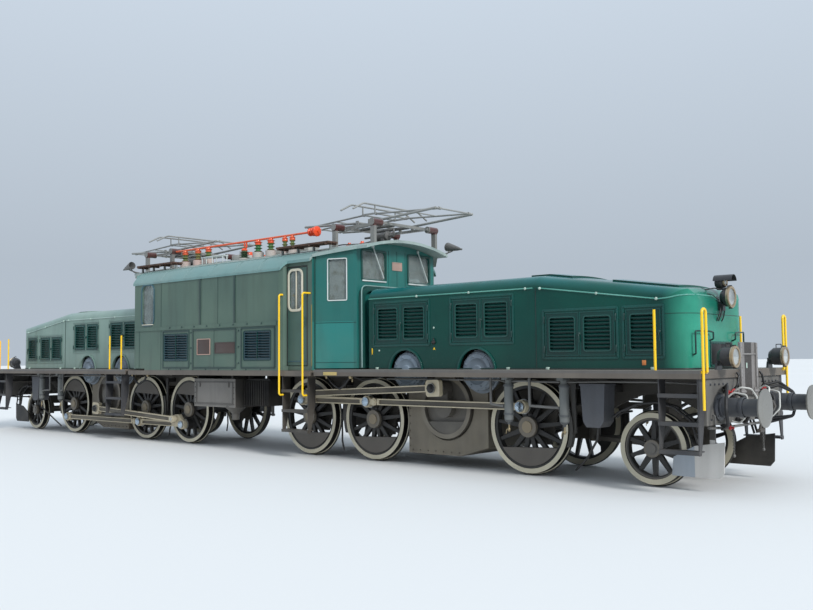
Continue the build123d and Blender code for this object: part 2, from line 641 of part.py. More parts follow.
def leaf_places():
    """Each leaf of a bonnet side as (x0, x1, z0, z1)."""
    places = []
    for first, last, z0, z1, count in BONNET_LEAVES:
        x0, width = first * SPREAD, (last - first) * SPREAD / count
        places += [(x0 + width * number, x0 + width * (number + 1), z0, z1) for number in range(count)]
    return places


def louvred_leaf(x0, x1, z0, z1, y0, y1, slats, border):
    """A framed leaf with tilted slats between its borders and a back sheet, on the +Y side."""
    frame = box(x0, x1, y0, y1, z0, z1)
    window = box(x0 + border, x1 - border, y0 + LEAF_BACK, y1 + 1, z0 + border, z1 - border)
    pieces = [frame.cut(window)]
    pitch = (z1 - z0 - 2 * border) / slats
    for number in range(slats):
        z = z0 + border + pitch * number
        back, front = (z + pitch * 0.62, z + pitch * 0.80), (z + pitch * 0.24, z + pitch * 0.02)
        outline = [(y0, back[0]), (y0, back[1]), (y1, front[0]), (y1, front[1])]
        pieces.append(plate_yz(outline, x0 + border - 6, x1 - border + 6))
    return fused(pieces)


def bonnet():
    """The sheet shell of the bonnet with leaf openings, motor arches, roof hatches and a rain strip."""
    shell = bonnet_body(0) - bonnet_body(BONNET_WALL)
    wall_y = (BONNET_HALF_WIDTH - BONNET_WALL - 30, BONNET_HALF_WIDTH + 30)
    openings = []
    for x0, x1, z0, z1 in leaf_places():
        hole = box(x0, x1, wall_y[0], wall_y[1], z0, z1)
        openings += [hole] + mirrored([hole])
    for x in MOTOR_X:
        openings.append(disc_y(x, MOTOR_Z, ARCH_RADIUS, -wall_y[1], wall_y[1]))
    foot = box(BONNET_REAR_X - 10, BONNET_FRONT_X + 10, -ASIDE, ASIDE, UNDER, DECK_TOP)
    shell = cut(shell, openings + [foot])
    hatches = []
    # first x, last x, half width: the hatch lids follow the roof and stand proud of it
    lids = ((BONNET_KINK_X - 320, BONNET_KINK_X + 380, 560), (BONNET_KINK_X + 1050, BONNET_FRONT_X - 300, 600))
    for x0, x1, half_width in lids:
        lid = (Pos(0, 0, 26) * bonnet_body(0)) - bonnet_body(8)
        hatches.append(lid & box(x0, x1, -half_width, half_width, STRIP_Z_FRONT, OVER))
    return [fused([shell] + [solid for lid in hatches for solid in lid.solids()])]


def bonnet_leaves():
    """The louvred leaves of both sides."""
    y1 = BONNET_HALF_WIDTH + 6
    y0 = BONNET_HALF_WIDTH - BONNET_WALL
    leaves = []
    for x0, x1, z0, z1 in leaf_places():
        gap = LEAF_GAP
        leaves.append(louvred_leaf(x0 + gap, x1 - gap, z0 + gap, z1 - gap, y0, y1, LOUVRE_SLATS, LEAF_BORDER))
    return leaves + mirrored(leaves)


GEAR_X = (DRIVER_X["middle"] + 750, DRIVER_X["outer"] - 750)
GEAR_BOTTOM = 190
GEAR_TOP = 1360
MOTOR_RADIUS = 440
MOTOR_NECK_RADIUS = 300


def motor(x):
    """A traction motor as one plain block of its outer form, with round end covers."""
    neck, shield = MOTOR_NECK_RADIUS, ARCH_RADIUS - 12
    shield_y = (792, 815)
    half = [(MOTOR_RADIUS, 500), (neck, 545), (neck, shield_y[0]), (shield, shield_y[0]), (shield, shield_y[1]),
            (neck, shield_y[1]), (neck, 905), (neck - 30, 930), (0, 930)]
    profile = [(r, -y) for r, y in reversed(half)] + half
    face = Face(Wire.make_polygon([(r, y, 0) for r, y in profile], close=True))
    return Pos(x, 0, MOTOR_Z) * revolve(face, Axis.Y)


def drive():
    """The two motors and the gear case between the driving wheels."""
    x0, x1 = GEAR_X
    outline = [(x0, GEAR_BOTTOM), (JACKSHAFT_X + 250, GEAR_BOTTOM), (x1, 350), (x1, GEAR_TOP), (x0, GEAR_TOP)]
    outer_y = 782
    side = plate_xz(outline, FRAME_INNER_Y + FRAME_PLATE, outer_y)
    recess = disc_y(JACKSHAFT_X, JACKSHAFT_Z, JACK_DISC_RADIUS + 30, DISC_BACK_Y - 12, outer_y + 1)
    necks = [disc_y(x, MOTOR_Z, MOTOR_NECK_RADIUS, 500, 900) for x in MOTOR_X]
    bore = disc_y(JACKSHAFT_X, JACKSHAFT_Z, AXLE_RADIUS + BORE_CLEARANCE, -900, 900)
    side = cut(side, [recess, bore] + necks)
    middle = plate_xz([(x, min(z, 980)) for x, z in outline], -FRAME_INNER_Y, FRAME_INNER_Y)
    bodies = [motor(x) for x in MOTOR_X]
    middle = cut(middle, [bore, box(x0 - 1, x1 + 1, -600, 600, 980, 1400)])
    for body in bodies:
        middle = middle.cut(body)
    return bodies + [side, mirror(side, about=Plane.XZ), middle]


BUFFER_Y = 875
BUFFER_Z = 1078
BUFFER_HEAD_RADIUS = 235


def end_gear():
    """Buffers, draw hook with its screw coupling, the raised gangway plate and the lamp brackets."""
    face_x = BEAM_X + BEAM_THICKNESS
    head_x = LENGTH_OVER_BUFFERS / 2
    flange, barrel, plunger, head = 170, 118, 108, BUFFER_HEAD_RADIUS
    profile = [
        (0, face_x), (flange, face_x), (flange, face_x + 25), (barrel, face_x + 45), (barrel, head_x - 270),
        (plunger, head_x - 270), (plunger, head_x - 45), (head - 10, head_x - 45), (head, head_x - 30),
        (head, head_x - 20), (150, head_x - 3), (70, head_x), (0, head_x),
    ]
    outline = Face(Wire.make_polygon([(x, r, 0) for r, x in profile], close=True))
    buffer = Pos(0, BUFFER_Y, BUFFER_Z) * revolve(outline, Axis.X)
    hook_outline = [(face_x, 1040), (face_x + 270, 1040), (face_x + 360, 1000), (face_x + 390, 1060),
                    (face_x + 360, 1130), (face_x + 310, 1150), (face_x + 270, 1110), (face_x, 1120)]
    hook = plate_xz(hook_outline, -28, 28)
    pin_x, screw_x = face_x + 290, face_x + 190
    link_pin = round_bar((pin_x, -90, 1070), (pin_x, 90, 1070), 20)
    shackles = [round_bar((pin_x, y, 1070), (screw_x, y * 0.7, 740), 18) for y in (-75, 75)]
    screw = round_bar((screw_x, -80, 740), (screw_x, 80, 740), 26)
    plate_x = DECK_FRONT_X + SEAT_GAP
    plate = box(plate_x, plate_x + 18, -290, 290, 1200, 1890)
    hinge = [box(face_x, plate_x + 30, y - 45, y + 45, 1195, 1290) for y in (-230, 230)]
    return [buffer, mirror(buffer, about=Plane.XZ), fused([hook, link_pin, screw] + shackles),
            fused([plate] + hinge)]


LAMP_Y = 880
LAMP_Z = 1700
LAMP_RADIUS = 132
TOP_LAMP_Z = 2500
TOP_LAMP_RADIUS = 142
SMALL_LAMP_Z = 2708
HOOD_RADIUS = 96


def lamp_body(x_lens, y, z, radius, length):
    """A round headlamp with its rim in front and a domed back."""
    profile = [
        (0, x_lens - length), (radius * 0.55, x_lens - length + 12), (radius * 0.9, x_lens - length + 70),
        (radius * 0.92, x_lens - 40), (radius, x_lens - 36), (radius, x_lens), (radius * 0.86, x_lens),
        (radius * 0.8, x_lens - 12), (0, x_lens - 8),
    ]
    outline = Face(Wire.make_polygon([(x, r, 0) for r, x in profile], close=True))
    return Pos(0, y, z) * revolve(outline, Axis.X)


def lamps():
    """Two lamps on brackets at the deck's edge, and the nose lamp under a small hooded one."""
    pieces = []
    edge = DECK_FRONT_X
    for y in (-LAMP_Y, LAMP_Y):
        body = lamp_body(edge + 210, y, LAMP_Z, LAMP_RADIUS, 230)
        stand = plate_yz([(y - 90, DECK_TOP), (y + 90, DECK_TOP), (y + 60, LAMP_Z - 70), (y - 60, LAMP_Z - 70)],
                         edge - 35, edge - 5)
        arm = box(edge - 35, edge + 60, y - 40, y + 40, LAMP_Z - 110, LAMP_Z - 20)
        pieces.append(fused([body, stand, arm]))
    return pieces + [nose_lamps()]


def nose_lamps():
    """The large lamp on the nose, the small one over it and its round hood, on one arm."""
    nose = BONNET_FRONT_X
    large = lamp_body(nose + 170, 0, TOP_LAMP_Z, TOP_LAMP_RADIUS, 150)
    arm = box(nose, nose + 60, -45, 45, TOP_LAMP_Z - 180, TOP_LAMP_Z - 60)
    small = lamp_body(nose + 90, 0, SMALL_LAMP_Z, 60, 110)
    post = box(nose + 36, nose + 66, -30, 30, TOP_LAMP_Z + 100, SMALL_LAMP_Z - 30)
    rear, front = nose - 50, nose + 205
    radius, z = HOOD_RADIUS, SMALL_LAMP_Z
    hood = round_bar((rear, 0, z), (front, 0, z), radius)
    hollow = round_bar((rear - 1, 0, z), (front + 1, 0, z), radius - 7)
    below = box(rear - 2, front + 2, -radius - 1, radius + 1, z - radius - 1, z + 12)
    bridge = box(nose + 10, nose + 30, -radius + 4, radius - 4, z, z + 20)
    return fused([large, arm, small, post, cut(hood, [hollow, below]), bridge])


RAIL_RADIUS = 17
POLE_Y = DECK_HALF_WIDTH - 75
POLE_TOP = 2300
LOOP_FOOT_Z = 1060
LOOP_Y = (DECK_HALF_WIDTH - 38, DECK_HALF_WIDTH - 148)


def truck_handrails():
    """The poles and loops along the nose and the poles of the ladder near the cab."""
    pieces = []
    for side in (-1, 1):
        y = side * POLE_Y
        pole_x = DECK_FRONT_X - 610
        pieces.append(round_bar((pole_x, y, DECK_TOP), (pole_x, y, POLE_TOP), RAIL_RADIUS))
        x = DECK_FRONT_X + RAIL_RADIUS + 8
        long_y, short_y, top = side * LOOP_Y[0], side * LOOP_Y[1], POLE_TOP - 18
        loop = [(x, long_y, LOOP_FOOT_Z), (x, long_y, top), (x, short_y, top), (x, short_y, DECK_TOP - 25)]
        lugs = [box(DECK_FRONT_X + SEAT_GAP, x, leg - 12, leg + 12, DECK_TOP - 40, DECK_TOP - 8)
                for leg in (long_y, short_y)]
        pieces.append(fused([pipe(loop, RAIL_RADIUS, 50)] + lugs))
    for x in (BONNET_REAR_X + 55, BONNET_REAR_X + 525):
        pieces.append(round_bar((x, POLE_Y, DECK_TOP), (x, POLE_Y, POLE_TOP - 30), RAIL_RADIUS))
    return pieces


def brake_block(x, z, radius, y, front):
    """A shoe against the tread with its hanger, on the +Y side, ahead of or behind the wheel."""
    sign = 1 if front else -1
    gap = 12
    ring = disc_y(x, z, radius + gap + 55, y - 40, y + 40).cut(disc_y(x, z, radius + gap, y - 41, y + 41))
    near, far = sorted((x + sign * radius * 0.5, x + sign * (radius + 200)))
    keep = box(near, far, y - 60, y + 60, z - 260, z + 260)
    shoe = ring & keep
    hanger_x = x + sign * (radius + gap + 60)
    hanger = plate_xz([(hanger_x - 35, z - 60), (hanger_x + 35, z - 60), (hanger_x + 30, FRAME_TOP - 60),
                       (hanger_x - 30, FRAME_TOP - 60)], y - 15, y + 15)
    root_y = FRAME_INNER_Y + FRAME_PLATE
    bracket = box(hanger_x - 45, hanger_x + 45, root_y, y + 20, FRAME_TOP - 130, FRAME_TOP - 50)
    return fused([shoe, hanger, bracket])


def under_gear():
    """Air cylinders, the sand box, brake blocks and the rail guards under the nose."""
    y, plate_y = DECK_HALF_WIDTH - 260, FRAME_INNER_Y + FRAME_PLATE
    one_side = []
    for x in (DRIVER_X["outer"] - 60, CARRYING_X - 1090):
        tank = fused([
            round_bar((x, y, 830), (x, y, 1340), 66),
            round_bar((x, y, 1340), (x, y, 1395), 50),
            round_bar((x, y, 800), (x, y, 830), 40),
            box(x - 50, x + 50, y - 60, y + 110, 1395, DECK_TOP - FASCIA_DEPTH + 5),
        ])
        saddle = box(x - 50, x + 50, y - 50, y + 100, 1430, DECK_TOP - DECK_THICKNESS)
        one_side.append(fused([tank, saddle]))
    x = CARRYING_X - 675
    top, waist, foot = 1340, 850, 770
    sand_outline = [(x - 185, top), (x + 185, top), (x + 160, waist), (x + 100, foot), (x - 100, foot), (x - 150, waist)]
    sand = plate_xz(sand_outline, 900, 1180)
    lid = box(x - 195, x + 195, 890, 1190, top - 15, top + 12)
    bracket = box(x - 145, x + 145, plate_y, 1000, 1230, 1330)
    one_side.append(fused([sand, lid, bracket]))
    one_side.append(brake_block(DRIVER_X["outer"], DRIVER_Z, DRIVER_RADIUS, 772, True))
    one_side.append(brake_block(DRIVER_X["middle"], DRIVER_Z, DRIVER_RADIUS, 772, False))
    x = BEAM_X
    outline = [(x - 590, 184), (x - 565, 423), (x - 280, 575), (x + 110, 639), (x + 95, 253), (x + 35, 181)]
    guard = plate_xz(outline, 862, 882)
    stay = box(x - 85, x - 15, 832, 862, 540, 1000)
    strut = box(x - 90, x, plate_y, 862, 900, 1000)
    one_side.append(fused([guard, stay, strut]))
    return one_side + mirrored(one_side)


def body_plan(inset):
    """The centre body's outline in plan: flush walls, a recessed door and a tapered cab panel."""
    half = BODY_HALF_WIDTH - inset
    door = DOOR_PLANE_Y - inset
    end_half = CAB_END_HALF_WIDTH - inset * 0.75
    end_x = CAB_END_X - inset
    radius = CORNER_RADIUS
    corner = WALL_CORNER_X - inset * 0.4
    one = [
        (-PLAIN_WALL_END_X + inset * 0.5, -half),
        (corner, -half),
        (corner + radius * 0.7, -half + radius * 0.3),
        (corner + radius, -door),
        (PANEL_START_X - inset * 0.2, -door),
        (PANEL_START_X - inset * 0.2 + 1, -PANEL_START_Y + inset),
        (end_x, -end_half),
        (end_x, end_half),
    ]
    return one + [(-x, -y) for x, y in one]


def roof_surface_z(y):
    """The height of the roof's upper surface at a distance from the middle."""
    return ROOF_CROWN - y * y / (2 * ROOF_ARC_RADIUS)


def half_section(drop):
    """The two ends of the roof's strip over the machine room, for +Y: the eaves and the strip's upper edge."""
    return (STRIP_EAVES_Y, STRIP_EAVES_Z - drop), (STRIP_INNER_Y, roof_surface_z(STRIP_INNER_Y) - drop)


def roof_section(drop, arc_only):
    """The filled space under the roof, from a low base up to its surface less a drop."""
    eaves, strip = half_section(drop)
    bulge = ((eaves[0] + strip[0]) / 2 + STRIP_BULGE * 0.67, (eaves[1] + strip[1]) / 2 + STRIP_BULGE * 0.74)
    base = UNDER
    crown = (0, ROOF_CROWN - drop)
    if arc_only:
        side = ARC_HALF_WIDTH
        eaves_z = roof_surface_z(side) - drop
        edges = [
            Line((side, base), (side, eaves_z)),
            ThreePointArc((side, eaves_z), crown, (-side, eaves_z)),
            Line((-side, eaves_z), (-side, base)),
            Line((-side, base), (side, base)),
        ]
    else:
        edges = [
            Line((eaves[0], base), eaves),
            ThreePointArc(eaves, bulge, strip),
            ThreePointArc(strip, crown, (-strip[0], strip[1])),
            ThreePointArc((-strip[0], strip[1]), (-bulge[0], bulge[1]), (-eaves[0], eaves[1])),
            Line((-eaves[0], eaves[1]), (-eaves[0], base)),
            Line((-eaves[0], base), (eaves[0], base)),
        ]
    return make_face(edges)


def under_roof(drop, overhang):
    """The space under the roof in plan zones: strip section over the machine room, arc over the cabs."""
    across = Plane(origin=(-ROOF_OVERHANG_X, 0, 0), x_dir=(0, 1, 0), z_dir=(1, 0, 0))
    strip = extrude(across * roof_section(drop, False), 2 * ROOF_OVERHANG_X)
    arc = extrude(across * roof_section(drop, True), 2 * ROOF_OVERHANG_X)
    side, door_side = STRIP_EAVES_Y + 10, DOOR_PLANE_Y + overhang
    door_end, plain_end = PANEL_START_X, STRIP_END_X
    recess_start, recess_end = WALL_CORNER_X + 45, WALL_CORNER_X + CORNER_RADIUS + 40
    half = [(-plain_end, 0), (-plain_end, -side), (recess_start, -side), (recess_end, -door_side),
            (door_end, -door_side), (door_end, 0)]
    machine = plate_xy(half + [(-x, -y) for x, y in half], UNDER, OVER)
    tip = ROOF_OVERHANG_X
    edge = CAB_END_HALF_WIDTH + overhang
    front = [(door_end, -PANEL_START_Y - overhang), (CAB_END_X + overhang, -edge), (tip, -edge), (tip, edge),
             (CAB_END_X + overhang, edge), (plain_end, BODY_HALF_WIDTH), (plain_end, 0), (door_end, 0)]
    cab = plate_xy(front, UNDER, OVER)
    return [strip & machine, arc & cab, arc & (Rot(0, 0, 180) * cab)]


# Openings in the left wall: first x, last x, bottom z, top z
LEFT_LOUVRES = ((-1795 * SPREAD, -985 * SPREAD, 1712, 2242), (776 * SPREAD, 1533 * SPREAD, 1712, 2242))
REAR_WINDOW = (-PLAIN_WALL_END_X + 280, -PLAIN_WALL_END_X + 710, 2457, 3275)
REAR_WINDOW_RADIUS = 150
CAB_PANEL_WINDOW_Z = (2730, 3430)
CAB_PANEL_WINDOW = (270, 610)
DOOR_TOP = 3340
DOOR_WINDOW_BORDERS = (45, 110)
DOOR_WINDOW_Z = (2590, 3290)
DOOR_WINDOW_RADIUS = 130
END_WINDOWS = ((-890, -300), (300, 890))
END_WINDOW_Z = (3080, 3580)
LEDGE_Z = (2330, 2405)


def panel_frame_place():
    """Where the tapered cab panel starts and the way it runs, on the left front side."""
    run_x = CAB_END_X - PANEL_START_X
    run_y = PANEL_START_Y - CAB_END_HALF_WIDTH
    angle = math.degrees(math.atan2(run_y, run_x))
    return Pos(PANEL_START_X, -PANEL_START_Y, 0) * Rot(0, 0, angle)


def round_topped(x0, x1, z0, z1, y0, y1, radius):
    """A window cutter whose upper corners are rounded."""
    block = box(x0, x1, y0, y1, z0, z1)
    top_edges = [edge for edge in block.edges().filter_by(Axis.Y) if edge.center().Z > z1 - 1]
    return fillet(top_edges, radius)


def window_cutters():
    """The cutters of the left side and the front end, each as (name, solid)."""
    x0, x1, z0, z1 = REAR_WINDOW
    half = BODY_HALF_WIDTH
    cutters = [round_topped(x0, x1, z0, z1, -half - 125, -half + 175, REAR_WINDOW_RADIUS)]
    place = panel_frame_place()
    start, end = CAB_PANEL_WINDOW
    low, high = CAB_PANEL_WINDOW_Z
    cutters.append(place * round_topped(start, end, low, high, -150, 150, 40))
    return cutters


def end_window_cutters():
    """The two windows of the front end wall."""
    low, high = END_WINDOW_Z
    cutters = []
    for y0, y1 in END_WINDOWS:
        block = box(CAB_END_X - 200, CAB_END_X + 200, y0, y1, low, high)
        cutters.append(fillet(block.edges().filter_by(Axis.X), 60))
    return cutters


def body_shell():
    """The upright walls all round, up to the underside of the roof."""
    outer = plate_xy(body_plan(0), SILL_TOP, OVER)
    inner = plate_xy(body_plan(BODY_WALL), SILL_TOP - 1, OVER + 1)
    ring = outer.cut(inner)
    walls = [ring & zone for zone in under_roof(ROOF_SHEET, 40)]
    shell = fused([solid for wall in walls for solid in wall.solids()])
    cab_gap = [box(SILL_END_DOOR_SIDE - 60, OVER, -ASIDE, ASIDE, SILL_TOP - 1, CAB_WALL_BOTTOM)]
    return cut(shell, cab_gap + turned(cab_gap))


def side_walls_and_ends():
    """The shell parted into the two long sides and the two cab ends."""
    shell = body_shell()
    side_cutters = window_cutters()
    for x0, x1, z0, z1 in LEFT_LOUVRES:
        side_cutters.append(box(x0, x1, -BODY_HALF_WIDTH - 125, -BODY_HALF_WIDTH + 125, z0, z1))
    door_y = -DOOR_PLANE_Y
    side_cutters.append(box(DOOR_JAMB_X[0], DOOR_JAMB_X[1], door_y - 105, door_y + 105, CAB_FLOOR_TOP, DOOR_TOP))
    ends = end_window_cutters()
    shell = cut(shell, side_cutters + turned(side_cutters) + ends + turned(ends))
    parting = CAB_END_X - BODY_WALL
    middle = box(-parting, parting, -ASIDE, ASIDE, UNDER, OVER)
    front = box(parting, OVER, -ASIDE, ASIDE, UNDER, OVER)
    sides = (shell & middle).solids()
    end_pieces = (shell & front).solids()
    ledge = box(-PLAIN_WALL_END_X + 40, WALL_CORNER_X - 40, -BODY_HALF_WIDTH - 14, -BODY_HALF_WIDTH, LEDGE_Z[0],
                LEDGE_Z[1])
    left = fused([side for side in sides if side.center().Y < 0] + [ledge] + hinge_pins())
    return [left], end_pieces


def gaiter_ring():
    """The hood ring on the cab end that covers the gap to the bonnet."""
    half, top, depth, width = CAB_END_HALF_WIDTH - 35, CROWN_Z_REAR + 25, 80, 85
    outer = box(CAB_END_X, CAB_END_X + depth, -half, half, CAB_WALL_BOTTOM, top)
    inner_half = half - width
    inner = box(CAB_END_X - 1, CAB_END_X + depth + 1, -inner_half, inner_half, CAB_WALL_BOTTOM - 1, top - width)
    outer_top = [edge for edge in outer.edges().filter_by(Axis.X) if edge.center().Z > top - 1]
    inner_top = [edge for edge in inner.edges().filter_by(Axis.X) if edge.center().Z > top - width - 1]
    return fillet(outer_top, 220).cut(fillet(inner_top, 160))


def roof():
    """The roof sheets: the strip-edged one over the machine room and an arched canopy over each cab."""
    outer = under_roof(0, CAB_EAVES)
    inner = under_roof(ROOF_SHEET, CAB_EAVES + 200)
    return [cut(sheet, [hollow]) for sheet, hollow in zip(outer, inner)]


def body_frame():
    """The floor, the sill, the bolsters with their pivots, and the steps under the doors."""
    half = BODY_HALF_WIDTH
    door_end, plain_end = SILL_END_DOOR_SIDE, SILL_END_PLAIN_SIDE
    outline = [(-plain_end, -half), (door_end, -half), (door_end, 0), (plain_end, 0), (plain_end, half),
               (-door_end, half), (-door_end, 0), (-plain_end, 0)]
    slab = plate_xy(outline, FLOOR_BOTTOM, SILL_TOP)
    rim = plate_xy(outline, SILL_BOTTOM, FLOOR_BOTTOM)
    rim_core = box(-plain_end - 1, plain_end + 1, -half + 40, half - 40, SILL_BOTTOM - 1, FLOOR_BOTTOM + 1)
    rim = rim.cut(rim_core)
    floor_edge = BODY_WALL + 2
    machine = box(-BULKHEAD_X, BULKHEAD_X, -half + floor_edge, half - floor_edge, SILL_TOP, MACHINE_FLOOR_TOP)
    inner = plate_xy(body_plan(BODY_WALL), SILL_TOP, CAB_FLOOR_TOP)
    cab_floor = inner & box(BULKHEAD_X, CAB_END_X - BODY_WALL, -half, half, MACHINE_FLOOR_TOP, CAB_FLOOR_TOP)
    packer = inner & box(BULKHEAD_X, door_end - 40, -half, half, SILL_TOP, MACHINE_FLOOR_TOP)
    bolster = box(PIVOT_X - 290, PIVOT_X + 290, -900, 900, SILL_BOTTOM - 30, FLOOR_BOTTOM)
    pin = round_bar((PIVOT_X, 0, 1190), (PIVOT_X, 0, SILL_BOTTOM), PIVOT_PIN_RADIUS)
    ends = [cab_floor, packer, bolster, pin, door_steps()]
    beams = [box(-PIVOT_X, PIVOT_X, y - 50, y + 50, 1400, FLOOR_BOTTOM) for y in (-430, 430)]
    return [fused([slab, rim, machine] + beams + ends + turned(ends))]


def door_steps():
    """The hanging ladder under the left front door."""
    x0, x1 = DOOR_JAMB_X[0] - 50, DOOR_JAMB_X[1] + 100
    steps = mirror(ladder(x0, x1, 450, SILL_BOTTOM), about=Plane.XZ)
    bracket = box(x0, x1, -LADDER_STRAP_Y[1], -LADDER_STRAP_Y[0], SILL_BOTTOM - 10, FLOOR_BOTTOM)
    return steps.fuse(bracket)


def body_handrails():
    """The tall rails beside each door."""
    rails = []
    low_y, pole_y = -BODY_HALF_WIDTH + 38, -BODY_HALF_WIDTH - 55
    corner_reach, door_reach = -BODY_HALF_WIDTH + 29, -DOOR_PLANE_Y - SEAT_GAP
    for x, reach in ((WALL_CORNER_X + 85, corner_reach), (PANEL_START_X - 60, door_reach)):
        points = [(x, low_y, 1100), (x, pole_y, 1100), (x, pole_y, 2860), (x, reach, 2860)]
        rails.append(pipe(points, RAIL_RADIUS, 40))
    return rails + turned(rails)


# Door hinges: axis, heights, sizes
HINGE_X = DOOR_JAMB_X[0]
HINGE_Y = DOOR_PLANE_Y - 80
HINGE_Z = (1900, 2900)
HINGE_HALF = 50
HINGE_BARREL_RADIUS = 14
HINGE_PIN_RADIUS = 7
DOOR_GAP = 12
LEAF_THICKNESS = 42
HANDLE_Z = (2300, 2440)


def hinge_pins():
    """The fixed halves of the left door's hinges: a lug on the jamb, a barrel and its pin."""
    x, y = HINGE_X, -HINGE_Y
    pieces = []
    for z in HINGE_Z:
        pieces.append(box(x - 40, x, -DOOR_PLANE_Y + BODY_WALL - 30, y + 6, z - HINGE_HALF, z))
        pieces.append(round_bar((x, y, z - HINGE_HALF), (x, y, z), HINGE_BARREL_RADIUS))
        pieces.append(round_bar((x, y, z - 10), (x, y, z + HINGE_HALF), HINGE_PIN_RADIUS))
    return pieces


def hinge_barrels():
    """The moving halves of the left door's hinges, bored for the pins."""
    x, y = HINGE_X, -HINGE_Y
    pieces = []
    for z in HINGE_Z:
        low, high = z + BORE_CLEARANCE, z + HINGE_HALF
        barrel = round_bar((x, y, low), (x, y, high), HINGE_BARREL_RADIUS)
        strap = box(x + 6, x + 48, -DOOR_PLANE_Y + LEAF_THICKNESS - 2, y + 4, low, high)
        bore = round_bar((x, y, low - 1), (x, y, high + 1), HINGE_PIN_RADIUS + BORE_CLEARANCE)
        pieces.append(cut(fused([barrel, strap]), [bore]))
    return pieces


def door_window(y0, y1):
    """The round-topped window of the left front door, between two y planes."""
    x0 = DOOR_JAMB_X[0] + DOOR_GAP + DOOR_WINDOW_BORDERS[0]
    x1 = DOOR_JAMB_X[1] - DOOR_GAP - DOOR_WINDOW_BORDERS[1]
    return round_topped(x0, x1, DOOR_WINDOW_Z[0], DOOR_WINDOW_Z[1], y0, y1, DOOR_WINDOW_RADIUS)


def cab_door():
    """The left front door leaf with its window cut."""
    x0, x1 = DOOR_JAMB_X[0] + DOOR_GAP, DOOR_JAMB_X[1] - DOOR_GAP
    low, high = CAB_FLOOR_TOP + DOOR_GAP, DOOR_TOP - DOOR_GAP
    leaf = box(x0, x1, -DOOR_PLANE_Y, -DOOR_PLANE_Y + LEAF_THICKNESS, low, high)
    window = door_window(-DOOR_PLANE_Y - 50, -DOOR_PLANE_Y + 90)
    root_y, grip_y, grip_x = -DOOR_PLANE_Y + 10, -DOOR_PLANE_Y - 45, x1 - 60
    low, high = HANDLE_Z
    handle = pipe([(grip_x, root_y, low), (grip_x, grip_y, low), (grip_x, grip_y, high), (grip_x, root_y, high)], 11, 20)
    return [fused([leaf.cut(window), handle] + hinge_barrels())]


def cab_door_glass():
    """The pane of the left front door."""
    middle = -DOOR_PLANE_Y + LEAF_THICKNESS / 2
    return [door_window(middle - 4, middle + 4)]


def body_glass():
    """All the fixed panes of the centre body."""
    x0, x1, z0, z1 = REAR_WINDOW
    wall_middle = -BODY_HALF_WIDTH + BODY_WALL / 2
    panes = [round_topped(x0, x1, z0, z1, wall_middle - 4, wall_middle + 4, REAR_WINDOW_RADIUS)]
    start, end = CAB_PANEL_WINDOW
    low, high = CAB_PANEL_WINDOW_Z
    panes.append(panel_frame_place() * round_topped(start, end, low, high, 26, 34, 40))
    for y0, y1 in END_WINDOWS:
        block = box(CAB_END_X - 34, CAB_END_X - 26, y0, y1, END_WINDOW_Z[0], END_WINDOW_Z[1])
        panes.append(fillet(block.edges().filter_by(Axis.X), 60))
    return panes + turned(panes)


def body_louvres():
    """The louvred panels low in each side wall."""
    panels = []
    for x0, x1, z0, z1 in LEFT_LOUVRES:
        leaf = louvred_leaf(x0, x1, z0, z1, BODY_HALF_WIDTH - BODY_WALL + 15, BODY_HALF_WIDTH, 10, 26)
        panels.append(mirror(leaf, about=Plane.XZ))
    return panels + turned(panels)


def bulkheads():
    """The walls between the machine room and each cab."""
    inner = BODY_HALF_WIDTH - BODY_WALL
    wall = box(BULKHEAD_X - BULKHEAD_THICKNESS, BULKHEAD_X, -inner, inner, MACHINE_FLOOR_TOP, OVER)
    space = under_roof(ROOF_SHEET, 0)[0]
    wall = wall & space
    return [wall] + turned([wall])


def cab_fittings():
    """The driver's desk, controller and stool in each cab."""
    front, rear, floor = CAB_END_X - BODY_WALL - 10, CAB_END_X - 410, CAB_FLOOR_TOP
    half = CAB_END_HALF_WIDTH - 160
    desk = plate_xz([(rear, floor), (front, floor), (front, floor + 1040), (rear + 160, floor + 1040),
                     (rear, floor + 920)], -half, half)
    wheel_x, wheel_y, stool_x = rear + 40, -450, CAB_END_X - 730
    column = round_bar((wheel_x, wheel_y, floor + 900), (wheel_x, wheel_y, floor + 1100), 60)
    wheel_rim = round_bar((wheel_x, wheel_y, floor + 1100), (wheel_x, wheel_y, floor + 1124), 190)
    stool = fused([round_bar((stool_x, wheel_y + 30, floor), (stool_x, wheel_y + 30, floor + 580), 40),
                   round_bar((stool_x, wheel_y + 30, floor + 580), (stool_x, wheel_y + 30, floor + 640), 180)])
    fittings = [fused([desk, column, wheel_rim]), stool]
    return fittings + turned(fittings)


def transformer():
    """The heavy mass in the machine room as one plain block."""
    half_length, half = 800 * SPREAD, BODY_HALF_WIDTH - 525
    return [box(-half_length, half_length, -half, half, MACHINE_FLOOR_TOP, 3100)]


WALKWAY_Y = BODY_HALF_WIDTH - 355
WALKWAY_X = ((1400 * SPREAD, 2770 * SPREAD), (-3200 * SPREAD, -1850 * SPREAD))
PLANK_Z = (ROOF_CROWN - 65, ROOF_CROWN - 33)


def roof_walkways():
    """Plank walkways on posts at both edges of the roof."""
    pieces = []
    y, low = -WALKWAY_Y, PLANK_Z[0]
    for x0, x1 in WALKWAY_X:
        planks = [box(x0, x1, y + offset - 55, y + offset + 55, low, PLANK_Z[1]) for offset in (-65, 65)]
        places = [x0 + share * (x1 - x0) for share in (0.04, 0.35, 0.65, 0.96)]
        foot_z = roof_surface_z(WALKWAY_Y - 20) - 30
        posts = [box(x - 15, x + 15, y - 20, y + 20, foot_z, low) for x in places]
        rungs = [box(x - 20, x + 20, y - 125, y + 125, low - 25, low) for x in places]
        pieces.append(cut(fused(planks + posts + rungs), under_roof(0, CAB_EAVES)))
    return pieces + turned(pieces)


